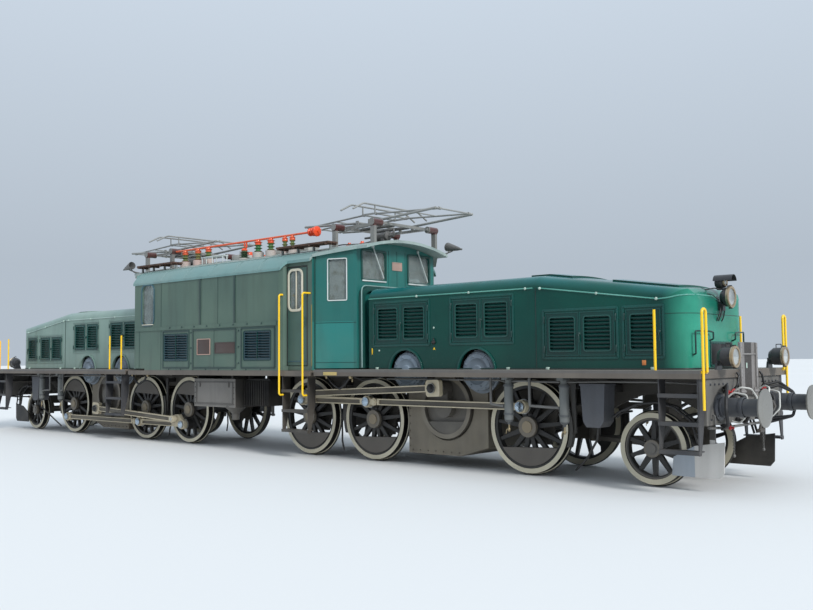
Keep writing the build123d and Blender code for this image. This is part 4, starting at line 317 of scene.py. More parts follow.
FINISHES = {
    "body": painted("body_paint", DULL_GREEN, DULL_GREEN_FADED,
                    [({"ax": (2.495, 4), "side": DOOR_SIDE}, TEAL),
                     # Painted light: the lower part of the slanting cab panel is a lighter teal, for the sun
                     # on it
                     ({"ax": (2.495, 4), "side": DOOR_SIDE, "z": (1.53, 2.36)}, tone(26, 116, 110)),
                     ({"ax": (0, 4), "z": (1.40, 1.530)}, FASCIA_BROWN)], dust=0.12, dust_top=2.2,
                    dust_foot=1.4, streaks=0.3, rough=(0.38, 0.52)),
    # Painted shade: the door is a darker green than the body, for the shade of its recess
    "door": painted("door_paint_recess_shade", tone(56, 84, 76), tone(66, 94, 84), dust=0.1, dust_foot=1.4,
                    rough=(0.36, 0.5)),
    "end": painted("cab_end_paint", TEAL, TEAL_FADED, [({"ax": (3.252, 4)}, tone(14, 66, 60))], dust=0.08,
                   dust_foot=1.5, coat=0.15),
    "roof": painted("roof_paint", tone(112, 126, 120), tone(146, 152, 144),
                    [({"ay": (1.232, 2), "ax": (0, 2.93)}, STRIP_GREEN),
                     ({"ax": (3.30, 4)}, tone(150, 166, 162)),
                     ({"ax": (2.49, 4), "side": DOOR_SIDE, "z": (3, 3.70)}, tone(140, 160, 156))],
                    dust=0.25, dust_top=4.0, dust_foot=2.0, streaks=0.25, rough=(0.38, 0.6)),
    # Both bonnets have a painted sky-blue sheen on their upward faces; the near bonnet also has painted
    # sunlight towards its nose
    "bonnet_near": painted("bonnet_paint", GREEN, GREEN_FADED, rough=(0.16, 0.28), coat=0.10, shine=0.26,
                           dust=0.02, dust_top=2.2, dust_foot=1.5, streaks=0.10, painted_sky_sheen=tone(34, 122, 126),
                           painted_sunlit_tip=(8.74, 9.10, tone(58, 154, 128))),
    "bonnet_far": painted("far_bonnet_paint", tone(114, 139, 128), tone(130, 153, 142), rough=(0.3, 0.45),
                          coat=0.15, dust=0.15, painted_sky_sheen=tone(120, 152, 148), dust_top=2.4, dust_foot=1.5,
                          streaks=0.3),
    "louvre": painted("louvre_paint", LOUVRE_BLUE, tone(22, 62, 70), rough=(0.25, 0.45), dust=0.08,
                      dust_foot=1.5, coat=0.2),
    "louvre_leaf": painted("louvre_leaf_paint", tone(4, 50, 46), tone(8, 62, 55), rough=(0.22, 0.38),
                           dust=0.03, dust_foot=1.5, shine=0.35),
    # Painted shade: the body's frame is darker below z 1.425, for the shade under the vehicle
    "floor_frame": painted("body_frame_paint", FASCIA_BROWN, tone(104, 96, 86),
                           [({"z": (0, 1.425)}, tone(40, 38, 37))], dust=0.3, dust_top=1.7),
    "yellow": painted("rail_yellow", YELLOW, tone(250, 206, 40), rough=(0.25, 0.4), dust=0.1, dust_top=1.2,
                      streaks=0.08, coat=0.2, chips=0.02),
    "inside": painted("cabin_paint", tone(150, 154, 142), tone(164, 166, 152), dust=0.1, dust_foot=1.5,
                      streaks=0.1),
    "deck": painted("deck_paint", FASCIA_BROWN, tone(110, 102, 92),
                    [({"z": (1.5385, 1.60)}, tone(128, 124, 116)),
                     ({"z": (1.50, 1.5385), "ny": SIDEWAYS}, PALE_EDGE),
                     # Painted shade: darker below z 1.43, for the shade under the footplate
                     ({"z": (0, 1.43)}, tone(38, 42, 50))], dust=0.2, dust_top=1.8, rough=(0.45, 0.65)),
    "frame": painted("truck_frame_paint", tone(72, 68, 62), tone(52, 49, 45),
                     [({"ax": (9.37, 9.5), "ay": (0, 2)}, tone(104, 102, 98))], dust=0.32, dust_top=1.6,
                     rough=(0.55, 0.8), streaks=0.35, chips=0.03),
    "drive": painted("drive_paint", tone(120, 112, 96), tone(96, 88, 76),
                     [({"z": (1.0, 2.2), "ay": (0.785, 1.2)}, tone(122, 132, 142))], dust=0.30,
                     dust_top=1.5, rough=(0.4, 0.65), streaks=0.3),
    "under": painted("underfloor_paint", tone(62, 60, 57), tone(44, 42, 40),
                     [({"ax": (0.34, 1.1)}, tone(26, 25, 25)), ({"ay": (1.29, 2)}, tone(122, 118, 113))],
                     dust=0.28, dust_top=1.5, rough=(0.5, 0.7)),
    "gear": painted("under_gear_paint", tone(54, 52, 49), tone(40, 39, 38),
                    [({"ax": (6.38, 6.58), "ay": (1.1, 1.5)}, GREY),
                     ({"ax": (7.31, 7.51), "ay": (1.1, 1.5)}, GREY),
                     ({"ax": (7.60, 8.05), "z": (0.72, 1.36), "ay": (0.85, 1.3)}, tone(78, 80, 86)),
                     ({"ax": (8.80, 9.47), "ay": (1.19, 1.5)}, tone(40, 46, 54)),
                     ({"ax": (3.40, 4.12), "ay": (1.19, 1.5)}, tone(34, 38, 46)),
                     ({**RAIL_GUARD, "side": DOOR_SIDE}, tone(196, 194, 190)),
                     ({**RAIL_GUARD, "ax": (8.76, 9.10), "side": DOOR_SIDE}, tone(150, 160, 170)),
                     # Painted shadow: the rail guard on the plain side is near-black for the shade it stands
                     # in; the door side's guard is pale
                     ({**RAIL_GUARD, "side": PLAIN_SIDE}, tone(16, 16, 17))], dust=0.22, dust_top=1.2,
                    rough=(0.42, 0.65)),
    "buffers": painted("buffer_paint", tone(44, 50, 60), tone(58, 62, 68),
                       [({"ax": (9.98, 10.1)}, tone(168, 166, 160)),
                        ({"ax": (9.42, 9.5), "ay": (0, 0.3)}, tone(128, 124, 121)),
                        ({"ay": (0, 0.12)}, tone(52, 46, 42))], metal_zones=[{"ax": (9.99, 10.1)}],
                       dust=0.3, dust_top=1.6, rough=(0.35, 0.6), chips=0.02),
    "lamps": painted("lamp_paint", tone(30, 32, 36), tone(44, 46, 50),
                     [(limits, LAMP_CREAM) for limits in LAMP_BEZELS], metal_zones=LAMP_BEZELS, dust=0.12,
                     dust_top=2.5, rough=(0.25, 0.45)),
    "rods": painted("rod_steel", tone(206, 194, 166), tone(182, 170, 144),
                    [({"ny": (0.6, 2), "ay": (0.943, 0.988)}, tone(52, 47, 42)),
                     ({"ny": (0.6, 2), "ay": (1.078, 1.122)}, tone(52, 47, 42)),
                     ({"ny": (0.6, 2), "ay": (1.146, 1.30)}, BRIGHT_STEEL)], dust=0.25, dust_top=1.2,
                    rough=(0.35, 0.55), streaks=0.15),
    "busbar": painted("busbar_paint", tone(226, 78, 32), tone(214, 96, 50),
                      [({"z": (3.80, 3.945)}, tone(26, 120, 74)), ({"z": (3.2, 3.80)}, tone(172, 174, 168)),
                       ({"ax": (0.0, 0.24), "z": (3.715, 3.875)}, tone(34, 96, 66))], dust=0.10,
                      dust_top=4.2, dust_foot=3.5, rough=(0.18, 0.35), streaks=0.05),
    "pantograph": painted("pantograph_paint", tone(126, 128, 126), tone(146, 146, 142), dust=0.2,
                          dust_top=4.4, dust_foot=3.8, rough=(0.35, 0.55)),
    "pantograph_base": painted("pantograph_base_paint", tone(134, 134, 130), tone(112, 112, 108),
                               [({"ay": (0.625, 0.855), "z": (3.99, 4.13)}, tone(72, 20, 17))], dust=0.15,
                               dust_top=4.2, dust_foot=3.6, rough=(0.2, 0.4)),
    "leaf_frame": painted("leaf_frame_paint", tone(6, 66, 60), tone(14, 80, 72), rough=(0.2, 0.34),
                          dust=0.04, dust_foot=1.5, shine=0.4),
    "leaf_frame_far": painted("far_leaf_frame_paint", tone(104, 130, 120), tone(120, 142, 132), dust=0.1,
                              dust_foot=1.5),
    "slot_rim": painted("slot_rim_paint", tone(8, 66, 60), tone(16, 78, 70), rough=(0.2, 0.35), dust=0.08,
                        dust_foot=1.5),
    "hinge_green": painted("hinge_paint", tone(8, 50, 46), tone(14, 60, 54), rough=(0.25, 0.4), dust=0.06,
                           dust_foot=1.5),
    # Painted highlight: the rain beads are a paler green than the bonnets, for the highlight along them
    "bead": painted("bead_highlight_paint", tone(64, 140, 124), tone(110, 170, 156), rough=(0.2, 0.35), dust=0.05,
                    dust_foot=1.5),
    "bead_far": painted("far_bead_highlight_paint", tone(150, 174, 166), tone(170, 190, 182), dust=0.05,
                        dust_foot=1.5),
    "pale_paint": painted("pale_mark_paint", tone(176, 196, 184), tone(150, 172, 160), dust=0.1,
                          dust_foot=1.4),
    "seam": painted("seam_paint", tone(4, 36, 32), tone(10, 46, 40), dust=0.05, dust_foot=1.5),
    "motor_cover": painted("motor_cover_paint", tone(118, 132, 144), tone(92, 100, 108), rough=(0.35, 0.5),
                           dust=0.12, dust_foot=1.3),
    "black": painted("black_iron", tone(24, 24, 26), tone(36, 36, 37), rough=(0.35, 0.55), dust=0.12,
                     dust_top=1.2),
    "rubber": painted("hose_rubber", tone(18, 18, 20), tone(30, 30, 31), rough=(0.45, 0.6), dust=0.08,
                      dust_top=1.0),
    "tan": painted("tan_mark_paint", tone(196, 172, 104), tone(172, 150, 96), dust=0.1, dust_foot=1.3),
    "orange": painted("orange_mark_paint", tone(214, 128, 66), tone(196, 132, 84), dust=0.1, dust_foot=1.3),
    "door_edge": painted("door_edge_paint", tone(150, 128, 58), tone(130, 108, 60), dust=0.1,
                         dust_foot=1.5),
    "yellow_mark": painted("yellow_mark_paint", YELLOW, tone(250, 206, 40), dust=0.05, dust_foot=1.2),
    "lamp_rim": painted("lamp_rim_metal", tone(186, 168, 138), tone(150, 130, 104), rough=(0.25, 0.4),
                        dust=0.05, metallic=0.6, dust_foot=1.0),
    "buffer_fittings": painted("buffer_fitting_paint", tone(40, 46, 56), tone(66, 68, 72), dust=0.15,
                               dust_top=1.6),
    "gangway": painted("gangway_paint", tone(140, 136, 133), tone(118, 114, 111), dust=0.15, dust_top=2.0),
    "pale_hose": painted("pale_hose_rubber", tone(206, 206, 200), tone(176, 176, 170), dust=0.08,
                         dust_top=1.2),
    "red_paint": painted("cock_red", tone(190, 28, 30), tone(150, 34, 32), rough=(0.3, 0.45), dust=0.08,
                         dust_top=1.2),
    "steel_pipe": painted("pipe_paint", tone(104, 104, 102), tone(74, 72, 70), dust=0.18, dust_top=1.4),
    "tank_grey": painted("tank_band_paint", tone(86, 90, 92), tone(64, 66, 68), dust=0.15, dust_top=1.4),
    "brass": painted("drain_brass", tone(176, 160, 126), tone(140, 124, 96), rough=(0.3, 0.45), dust=0.12,
                     metallic=0.7, dust_top=1.0),
    "bolt_dull": painted("gear_case_bolt_steel", tone(112, 104, 90), tone(84, 78, 68), dust=0.2,
                         metallic=0.4, dust_top=1.2),
    # Bright steel with a painted sky-blue reflection tint
    "bright_nut": painted("pin_nut_steel_sky_tint", tone(190, 206, 220), tone(150, 168, 184), rough=(0.16, 0.3),
                          metallic=0.9, dust=0.06, dust_top=1.0),
    "batten": painted("batten_paint", tone(30, 56, 52), tone(44, 68, 62), dust=0.08, dust_foot=1.4),
    "plate_red": painted("plate_border_paint", tone(196, 150, 132), tone(176, 150, 138), dust=0.1,
                         dust_foot=1.4),
    "plate_dark": painted("blank_plate_paint", tone(60, 46, 42), tone(76, 60, 54), rough=(0.35, 0.5),
                          dust=0.1, dust_foot=1.4),
    "window_blue": painted("window_frame_blue", tone(34, 70, 82), tone(52, 90, 100), rough=(0.25, 0.4),
                           dust=0.05, dust_foot=1.5),
    "cream_frame": painted("window_frame_cream", tone(214, 206, 184), tone(190, 186, 168),
                           rough=(0.3, 0.45), dust=0.05, dust_foot=1.5),
    "pale_frame": painted("window_frame_pale", tone(206, 210, 206), tone(180, 190, 188), rough=(0.3, 0.45),
                          dust=0.05, dust_foot=1.5),
    "teal_dark": painted("dark_teal_paint", tone(12, 62, 56), tone(20, 74, 66), rough=(0.25, 0.4),
                         dust=0.05, dust_foot=1.5),
    "roof_seam": painted("roof_seam_paint", tone(96, 128, 126), tone(124, 148, 146), dust=0.08,
                         dust_foot=3.0),
    "roof_box": painted("roof_box_paint", tone(186, 186, 180), tone(160, 162, 156), dust=0.12,
                        dust_foot=3.0),
    "gutter": painted("gutter_paint", tone(128, 158, 154), tone(150, 172, 168), dust=0.08, dust_foot=3.0),
    "busbar_caps": painted("busbar_cap_paint", tone(226, 72, 30), tone(206, 88, 48), rough=(0.18, 0.34),
                           dust=0.05, dust_foot=3.5),
    "case_trim": painted("equipment_case_paint", tone(92, 89, 84), tone(72, 69, 65), dust=0.2,
                         dust_top=1.4),
    "glass": clear_glass(),
    "planks": planks(),
    "lamp_glass": lamp_glass(),
}
for wheel_name, wheel_x in DRIVER_PLACES.items():
    FINISHES["driver_" + wheel_name] = wheel_finish("driver_" + wheel_name, (wheel_x, DRIVER_HEIGHT),
                                                    DRIVER_TREAD)
FINISHES["carrying"] = wheel_finish("carrying_wheel", CARRYING_PLACE, CARRYING_TREAD)
FINISHES["jack"] = painted("crank_disc_paint", tone(84, 80, 74), tone(66, 62, 56), [
    ({"r": (0.43, 0.51), "ny": SIDEWAYS, "centre": JACK_PLACE}, tone(120, 112, 98)),
    ({"ay": (1.0, 2.0)}, BRIGHT_STEEL)], metal_zones=[{"ay": (1.0, 2.0)}], dust=0.4, dust_top=1.5)

# Which finish each node of the frame takes
BODY_NODES = {
    "side_walls": "body", "end_walls": "end", "roof": "roof", "body_frame": "floor_frame",
    "body_handrails": "yellow", "body_glass": "glass", "body_louvres": "louvre", "bulkheads": "inside",
    "cab_fittings": "inside", "transformer": "inside", "roof_walkways": "planks", "roof_busbar": "busbar",
    "pantograph_bases": "pantograph_base", "underfloor_boxes": "under",
}
TRUCK_NODES = {
    "truck_frame": "frame", "footplate": "deck", "bonnet_louvres": "louvre_leaf", "drive": "drive",
    "end_gear": "buffers", "lamps": "lamps", "truck_handrails": "yellow", "under_gear": "gear",
    "driver_axle_outer": "driver_outer", "driver_axle_middle": "driver_middle",
    "driver_axle_inner": "driver_inner", "carrying_axle": "carrying", "jackshaft": "jack",
    "rods_near": "rods", "rods_far": "rods", "pantograph_head": "pantograph",
    "pantograph_lower_arm_outer": "pantograph", "pantograph_upper_arm_outer": "pantograph",
    "pantograph_lower_arm_inner": "pantograph", "pantograph_upper_arm_inner": "pantograph",
    "cab_door": "door", "cab_door_glass": "glass",
}


def dress(node, finish):
    """Give a node of the frame its finish."""
    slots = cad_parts[node].material_slots
    for slot in slots:
        slot.material = FINISHES[finish]


for node_name, finish_name in BODY_NODES.items():
    dress(node_name, finish_name)
for end in ENDS:
    for node_name, finish_name in TRUCK_NODES.items():
        dress(node_name + "_" + end, finish_name)
dress("bonnet_front", "bonnet_near")
dress("bonnet_rear", "bonnet_far")


# Places on the front half that several fittings share
NOSE_CORNER = 0.35
STRIP_REAR_X, KINK_X, STRIP_Z = BONNET_REAR + 0.005, 6.80, 2.715
STRIP_FRONT = (8.70, 2.462)
BROW_X = BONNET_NOSE - 0.034
GAITER_X, GAITER_HALF, GAITER_TOP = CAB_END_X + 0.080, 0.985, 2.965
LEDGE_TOP = 2.405

# Louvred leaves of a bonnet side: first x, last x, bottom z, top z, leaves
BONNET_LEAVES = ((3.607, 4.755, 1.959, 2.617, 2), (5.255, 6.370, 1.959, 2.617, 2),
                 (6.956, 8.065, 1.725, 2.347, 2), (8.215, 8.728, 1.725, 2.347, 1))
LEAF_BORDER = 0.075

# The motors behind the bonnet's arches, and the cranks of the axles, with their angles in degrees
MOTOR_X = (4.285, 5.720)
MOTOR_Z = 1.510
CRANK = 0.300
CRANK_ANGLES = {("front", "near"): 92, ("front", "far"): 182, ("rear", "near"): 182, ("rear", "far"): 272}

# Pins that take a nut: axle x and z, how far out the nut sits, its depth, its finish and what carries it
CRANK_PINS = {name: (x, DRIVER_HEIGHT, 1.038, 0.011, "bright_nut", "driver_axle_" + name)
              for name, x in DRIVER_PLACES.items()}
CRANK_PINS["jack"] = (*JACK_PLACE, 1.173, 0.045, "black", "jackshaft")


def alone(piece):
    """Only this piece selected, and active."""
    bpy.ops.object.select_all(action="DESELECT")
    piece.select_set(True)
    bpy.context.view_layer.objects.active = piece
    return piece


def settled(piece):
    """The piece's place, turn and size put into its mesh."""
    alone(piece)
    bpy.ops.object.transform_apply(location=True, rotation=True, scale=True)
    return piece


def broken_edges(piece, width):
    """Every sharp edge of the piece rounded over."""
    alone(piece)
    bpy.ops.object.mode_set(mode="EDIT")
    bpy.ops.mesh.select_mode(type="EDGE")
    bpy.ops.mesh.select_all(action="SELECT")
    bpy.ops.mesh.normals_make_consistent(inside=False)
    bpy.ops.mesh.select_all(action="DESELECT")
    bpy.ops.mesh.edges_select_sharp(sharpness=SHARP_ABOVE)
    bpy.ops.mesh.bevel(offset=width, segments=2, affect="EDGES", clamp_overlap=True)
    bpy.ops.object.mode_set(mode="OBJECT")
    return piece


def block(low, high, edge=0.004):
    """A block between two corners, its edges rounded."""
    low, high = Vector(low), Vector(high)
    bpy.ops.object.select_all(action="DESELECT")
    bpy.ops.mesh.primitive_cube_add(size=1, location=(low + high) / 2, scale=high - low)
    return broken_edges(settled(bpy.context.active_object), edge)


def turned(centre, axis, profile, sides=32, edge=0.002):
    """A turned piece along an axis, from its radius at each distance; with six sides it is a bolt head."""
    centre, axis = Vector(centre), Vector(axis).normalized()
    first_radius, first_along = profile[0]
    bpy.ops.object.select_all(action="DESELECT")
    bpy.ops.mesh.primitive_circle_add(vertices=sides, radius=first_radius, fill_type="NGON",
                                      location=centre + axis * first_along,
                                      rotation=axis.to_track_quat("Z", "Y").to_euler())
    piece = settled(bpy.context.active_object)
    bpy.ops.object.mode_set(mode="EDIT")
    bpy.ops.mesh.select_all(action="SELECT")
    for (before, start), (after, end) in zip(profile, profile[1:]):
        bpy.ops.mesh.extrude_region_move(TRANSFORM_OT_translate={"value": axis * (end - start)})
        share = after / before
        bpy.ops.transform.resize(value=(share, share, share), center_override=centre + axis * end)
    bpy.ops.object.mode_set(mode="OBJECT")
    return broken_edges(piece, edge)


def rod(start, end, radius, sides=16):
    """A straight round bar between two points."""
    start, end = Vector(start), Vector(end)
    length = (end - start).length
    return turned(start, end - start, [(radius, 0), (radius, length)], sides, radius * 0.2)


def ring(centre, axis, inner, outer, depth, sides=40):
    """A flat ring: a disc inset, opened in its middle and thickened along its axis."""
    axis = Vector(axis).normalized()
    bpy.ops.object.select_all(action="DESELECT")
    bpy.ops.mesh.primitive_circle_add(vertices=sides, radius=outer, fill_type="NGON", location=centre,
                                      rotation=axis.to_track_quat("Z", "Y").to_euler())
    piece = settled(bpy.context.active_object)
    return hollowed(piece, outer - inner, axis * depth, min(depth, outer - inner) * 0.2)


def hollowed(piece, width, thickness, edge):
    """A flat face inset by a width, its middle taken out and the rest thickened."""
    bpy.ops.object.mode_set(mode="EDIT")
    bpy.ops.mesh.select_mode(type="FACE")
    bpy.ops.mesh.select_all(action="SELECT")
    bpy.ops.mesh.inset(thickness=width)
    bpy.ops.mesh.delete(type="FACE")
    bpy.ops.mesh.select_all(action="SELECT")
    bpy.ops.mesh.extrude_region_move(TRANSFORM_OT_translate={"value": thickness})
    bpy.ops.object.mode_set(mode="OBJECT")
    return broken_edges(piece, edge)


def frame_of(low, high, width, depth, corner=0.03, axis=LEFT):
    """A round-cornered frame in an upright plane, between two corners, standing out along the axis."""
    low, high, axis = Vector(low), Vector(high), Vector(axis)
    size = high - low
    across = size.x if abs(axis.y) > 0.5 else size.y
    bpy.ops.object.select_all(action="DESELECT")
    turn = (math.pi / 2, 0, 0) if abs(axis.y) > 0.5 else (math.pi / 2, 0, math.pi / 2)
    bpy.ops.mesh.primitive_plane_add(size=1, location=(low + high) / 2, rotation=turn)
    piece = bpy.context.active_object
    piece.scale = (across, size.z, 1)
    settled(piece)
    bpy.ops.object.mode_set(mode="EDIT")
    bpy.ops.mesh.select_all(action="SELECT")
    bpy.ops.mesh.bevel(offset=corner, segments=4, affect="VERTICES")
    bpy.ops.object.mode_set(mode="OBJECT")
    return hollowed(piece, width, axis * depth, min(width, depth) * 0.25)


def tube(points, radius, bend=0.04):
    """A bent pipe or hose through the points, turned into a mesh."""
    points = [Vector(point) for point in points]
    if len(points) == 2:
        points.insert(1, (points[0] + points[1]) / 2)
    control = [points[0]]
    for before, corner, after in zip(points, points[1:], points[2:]):
        control += [corner + (before - corner).normalized() * bend, corner,
                    corner + (after - corner).normalized() * bend]
    control.append(points[-1])
    curve = bpy.data.curves.new("run", "CURVE")
    curve.dimensions = "3D"
    curve.bevel_depth = radius
    curve.bevel_resolution = 3
    curve.use_fill_caps = True
    spline = curve.splines.new("NURBS")
    spline.points.add(len(control) - 1)
    for point, place in zip(spline.points, control):
        point.co = (*place, 1)
    spline.order_u = 3
    spline.use_endpoint_u = True
    spline.resolution_u = 3
    piece = bpy.data.objects.new("run", curve)
    bpy.context.collection.objects.link(piece)
    alone(piece)
    bpy.ops.object.convert(target="MESH")
    return bpy.context.active_object


def again(piece, steps):
    """The piece and a copy of it at each further step from it, each with its own mesh."""
    made = [piece]
    for step in steps:
        copy = piece.copy()
        copy.data = piece.data.copy()
        copy.data.transform(Matrix.Translation(step))
        bpy.context.collection.objects.link(copy)
        made.append(copy)
    return made


def bolt(place, axis=LEFT, radius=0.014, height=0.012):
    """One bolt head on its washer."""
    return turned(place, axis, [(radius * 1.45, 0), (radius * 1.45, height * 0.25), (radius, height * 0.26),
                                (radius, height), (radius * 0.7, height * 1.15)], 6, radius * 0.08)


def bolt_row(start, step, count, axis=LEFT, radius=0.014, height=0.012):
    """Bolt heads at an even step along a line."""
    step = Vector(step)
    return again(bolt(start, axis, radius, height), [step * number for number in range(1, count)])


def bolt_ring(centre, distance, count, radius=0.014, height=0.012, start=0.0):
    """Bolt heads round a centre, facing the left side."""
    places = []
    for number in range(count):
        angle = start + 2 * math.pi * number / count
        places.append(Vector((distance * math.cos(angle), 0, distance * math.sin(angle))))
    first = bolt(Vector(centre) + places[0], radius=radius, height=height)
    return again(first, [place - places[0] for place in places[1:]])


def joined(parts):
    """The parts of one fitting as one piece, smooth but for its sharp edges."""
    bpy.ops.object.select_all(action="DESELECT")
    for part in parts:
        part.select_set(True)
    bpy.context.view_layer.objects.active = parts[0]
    bpy.ops.object.join()
    bpy.ops.object.shade_smooth_by_angle(angle=SMOOTH_BELOW)
    return bpy.context.active_object


def placed(piece, name, end, side, finish, body):
    """The piece of the front's left side brought to its end and side, finished, and put on its body."""
    piece.name = name
    if side == "right":
        piece.data.transform(MIRROR)
        piece.data.flip_normals()
    if end == "rear":
        piece.data.transform(HALF_TURN)
    piece.data.materials.clear()
    piece.data.materials.append(FINISHES[finish])
    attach(piece, body)


def fit(name, parts, finish, body="truck", both_sides=False, ends=ENDS):
    """One fitting at both ends and, where it is so, on both sides. A finish may differ from end to end."""
    pattern = joined(parts)
    for end in ends:
        for side in ("left", "right") if both_sides else ("",):
            copy = pattern.copy()
            copy.data = pattern.data.copy()
            bpy.context.collection.objects.link(copy)
            full_name = "_".join([word for word in (name, side, end) if word])
            end_finish = finish[end] if isinstance(finish, dict) else finish
            placed(copy, full_name, end, side, end_finish, body if body == "body" else body + "_" + end)
    bpy.data.objects.remove(pattern)


def nose_point(angle, out=0.0):
    """A place in plan on the left rounded corner of the nose, at an angle from the side to the front."""
    reach = NOSE_CORNER + out
    turn = math.radians(angle)
    x = BONNET_NOSE - NOSE_CORNER + reach * math.sin(turn)
    return x, -(BONNET_SIDE - NOSE_CORNER + reach * math.cos(turn))


def leaf_fittings():
    """Frames, slot rims, hinges and handles of the louvred leaves."""
    skin = BONNET_SKIN
    frames, slots, handles, hinges = [], [], [], []
    for first, last, low, high, count in BONNET_LEAVES:
        frames.append(frame_of((first - 0.05, skin, low - 0.045), (last + 0.05, skin, high + 0.05), 0.035,
                               0.009, 0.03))
        width = (last - first) / count
        for number in range(count):
            x0, x1 = first + width * number, first + width * (number + 1)
            frames.append(frame_of((x0 + 0.006, skin - 0.006, low + 0.006),
                                   (x1 - 0.006, skin - 0.006, high - 0.006), 0.012, 0.005, 0.012))
            slots.append(frame_of((x0 + LEAF_BORDER - 0.016, skin - 0.006, low + LEAF_BORDER - 0.016),
                                  (x1 - LEAF_BORDER + 0.016, skin - 0.006, high - LEAF_BORDER + 0.016),
                                  0.020, 0.007, 0.05))
        middle, height = (first + last) / 2, (low + high) / 2
        for x in (first - 0.012, last + 0.012)[:count]:
            for z in (low + 0.10, high - 0.10):
                hinges.append(rod((x, skin - 0.014, z - 0.045), (x, skin - 0.014, z + 0.045), 0.012))
        handle_x = middle if count == 2 else last - 0.03
        handles += [turned((handle_x, skin - 0.006, height), LEFT,
                           [(0.026, 0), (0.026, 0.012), (0.014, 0.02), (0.014, 0.03)]),
                    tube([(handle_x, skin - 0.028, height), (handle_x + 0.008, skin - 0.034, height - 0.05),
                          (handle_x + 0.012, skin - 0.026, height - 0.12)], 0.009)]
    fit("leaf_frames", frames, {"front": "leaf_frame", "rear": "leaf_frame_far"},
        both_sides=True)
    fit("leaf_slot_rims", slots, "slot_rim", both_sides=True)
    fit("leaf_hinges", hinges + handles, "hinge_green", both_sides=True)


def bead_fittings():
    """The rain beads along the bonnet, the knobs on them, and the lugs at the bonnet's foot."""
    skin = BONNET_SKIN
    bead_y = skin - 0.006
    beads = [tube([(STRIP_REAR_X, bead_y, STRIP_Z + 0.004), (KINK_X - 0.05, bead_y, STRIP_Z)], 0.010)]
    curve = [(KINK_X + 0.05, bead_y, STRIP_Z - 0.004), (STRIP_FRONT[0], bead_y, STRIP_FRONT[1])]
    for angle, rise in ((12, 0.012), (28, 0.034), (46, 0.044), (62, 0.046)):
        curve.append((*nose_point(angle, 0.004), STRIP_FRONT[1] + rise))
    curve += [(BROW_X + 0.006, -0.62, STRIP_FRONT[1] + 0.048), (BROW_X + 0.006, 0, STRIP_FRONT[1] + 0.050)]
    beads.append(tube(curve, 0.010, 0.05))
    knobs = [turned((x, skin - 0.004, z), LEFT,
                    [(0.018, 0), (0.022, 0.010), (0.016, 0.022), (0.006, 0.026)], 16)
             for x, z in ((4.539, 2.714), (5.593, 2.714), (6.629, 2.714), (6.88, 2.704), (7.791, 2.583),
                          (8.67, 2.466))]
    lugs = [block((x - 0.022, skin - 0.035, DECK_TOP), (x + 0.022, skin + 0.004, DECK_TOP + 0.035))
            for x in (3.664, 6.312, 6.996, 8.60)]
    fit("rain_beads", beads, {"front": "bead", "rear": "bead_far"}, both_sides=True)
    fit("bead_knobs_and_lugs", knobs + lugs, "pale_paint", both_sides=True)


def seam_fittings():
    """The seams between the bonnet's sheets."""
    skin = BONNET_SKIN
    seams = [tube([(KINK_X, skin - 0.001, DECK_TOP + 0.02), (KINK_X, skin - 0.001, STRIP_Z)], 0.006)]
    turn_points = [(*nose_point(angle, 0.0005), 2.268) for angle in range(0, 91, 10)]
    seams.append(tube([(8.60, skin - 0.0005, 2.268)] + turn_points + [(BONNET_NOSE + 0.0005, 0, 2.268)],
                      0.004, 0.03))
    foot_points = [(*nose_point(angle, 0.002), DECK_TOP + 0.012) for angle in range(0, 91, 10)]
    seams.append(tube([(STRIP_REAR_X, skin - 0.002, DECK_TOP + 0.012)]
                      + foot_points + [(BONNET_NOSE + 0.002, 0, DECK_TOP + 0.012)], 0.010, 0.03))
    fit("bonnet_seams", seams, "seam", both_sides=True)


def motor_fittings():
    """The rims of the arches over the motors, and the motors' bolted covers."""
    rims, covers = [], []
    for x in MOTOR_X:
        rim = ring((x, BONNET_SKIN, MOTOR_Z), LEFT, 0.338, 0.372, 0.022, 64)
        alone(rim)
        bpy.ops.object.mode_set(mode="EDIT")
        bpy.ops.mesh.select_all(action="SELECT")
        bpy.ops.mesh.bisect(plane_co=(x, 0, DECK_TOP + 0.002), plane_no=UP, clear_inner=True, use_fill=True)
        bpy.ops.object.mode_set(mode="OBJECT")
        rims.append(rim)
        face = (x, -0.93, MOTOR_Z)
        covers += [turned((x, -0.905, MOTOR_Z), LEFT, [(0.296, 0), (0.296, 0.010), (0.280, 0.014)], 48),
                   turned(face, LEFT, [(0.262, 0), (0.262, 0.012), (0.20, 0.016), (0.19, 0.008),
                                       (0.10, 0.010), (0.09, 0.030), (0.06, 0.034)], 48)]
        covers += bolt_ring((x, -0.918, MOTOR_Z), 0.286, 12, 0.010, 0.010)
        covers += bolt_ring((x, -0.944, MOTOR_Z), 0.235, 8, 0.014, 0.012, 0.3)
    fit("arch_rims", rims, {"front": "leaf_frame", "rear": "leaf_frame_far"}, both_sides=True)
    fit("motor_covers", covers, "motor_cover", both_sides=True)


def nose_rails():
    """The grab rails round the corners of the nose."""
    out = 0.055
    low, high = 1.733, 2.036
    rail = [(*nose_point(60), low), (*nose_point(60, out), low + 0.01), (*nose_point(60, out), high),
            (*nose_point(78, out), high), (BONNET_NOSE + out, -0.50, high),
            (BONNET_NOSE + out, -0.37, high - 0.01), (BONNET_NOSE + out, -0.37, high - 0.10),
            (BONNET_NOSE, -0.37, high - 0.12)]
    fit("nose_grab_rails", [tube(rail, 0.011, 0.03)], "hinge_green", both_sides=True)


def nose_slot():
    """A black block on the nose as painted shade inside its slot, and the frame round it."""
    # Painted shade: the black block stands for the shade inside the slot
    slot = [block((BONNET_NOSE - 0.004, -0.34, 1.60), (BONNET_NOSE + 0.006, 0.0, 1.876), 0.002)]
    fit("nose_slots", slot, "black", both_sides=True)
    border = [frame_of((BONNET_NOSE, -0.37, 1.57), (BONNET_NOSE, 0.37, 1.906), 0.030, 0.012, 0.02, FORWARD)]
    fit("nose_slot_frame", border, {"front": "leaf_frame", "rear": "leaf_frame_far"})


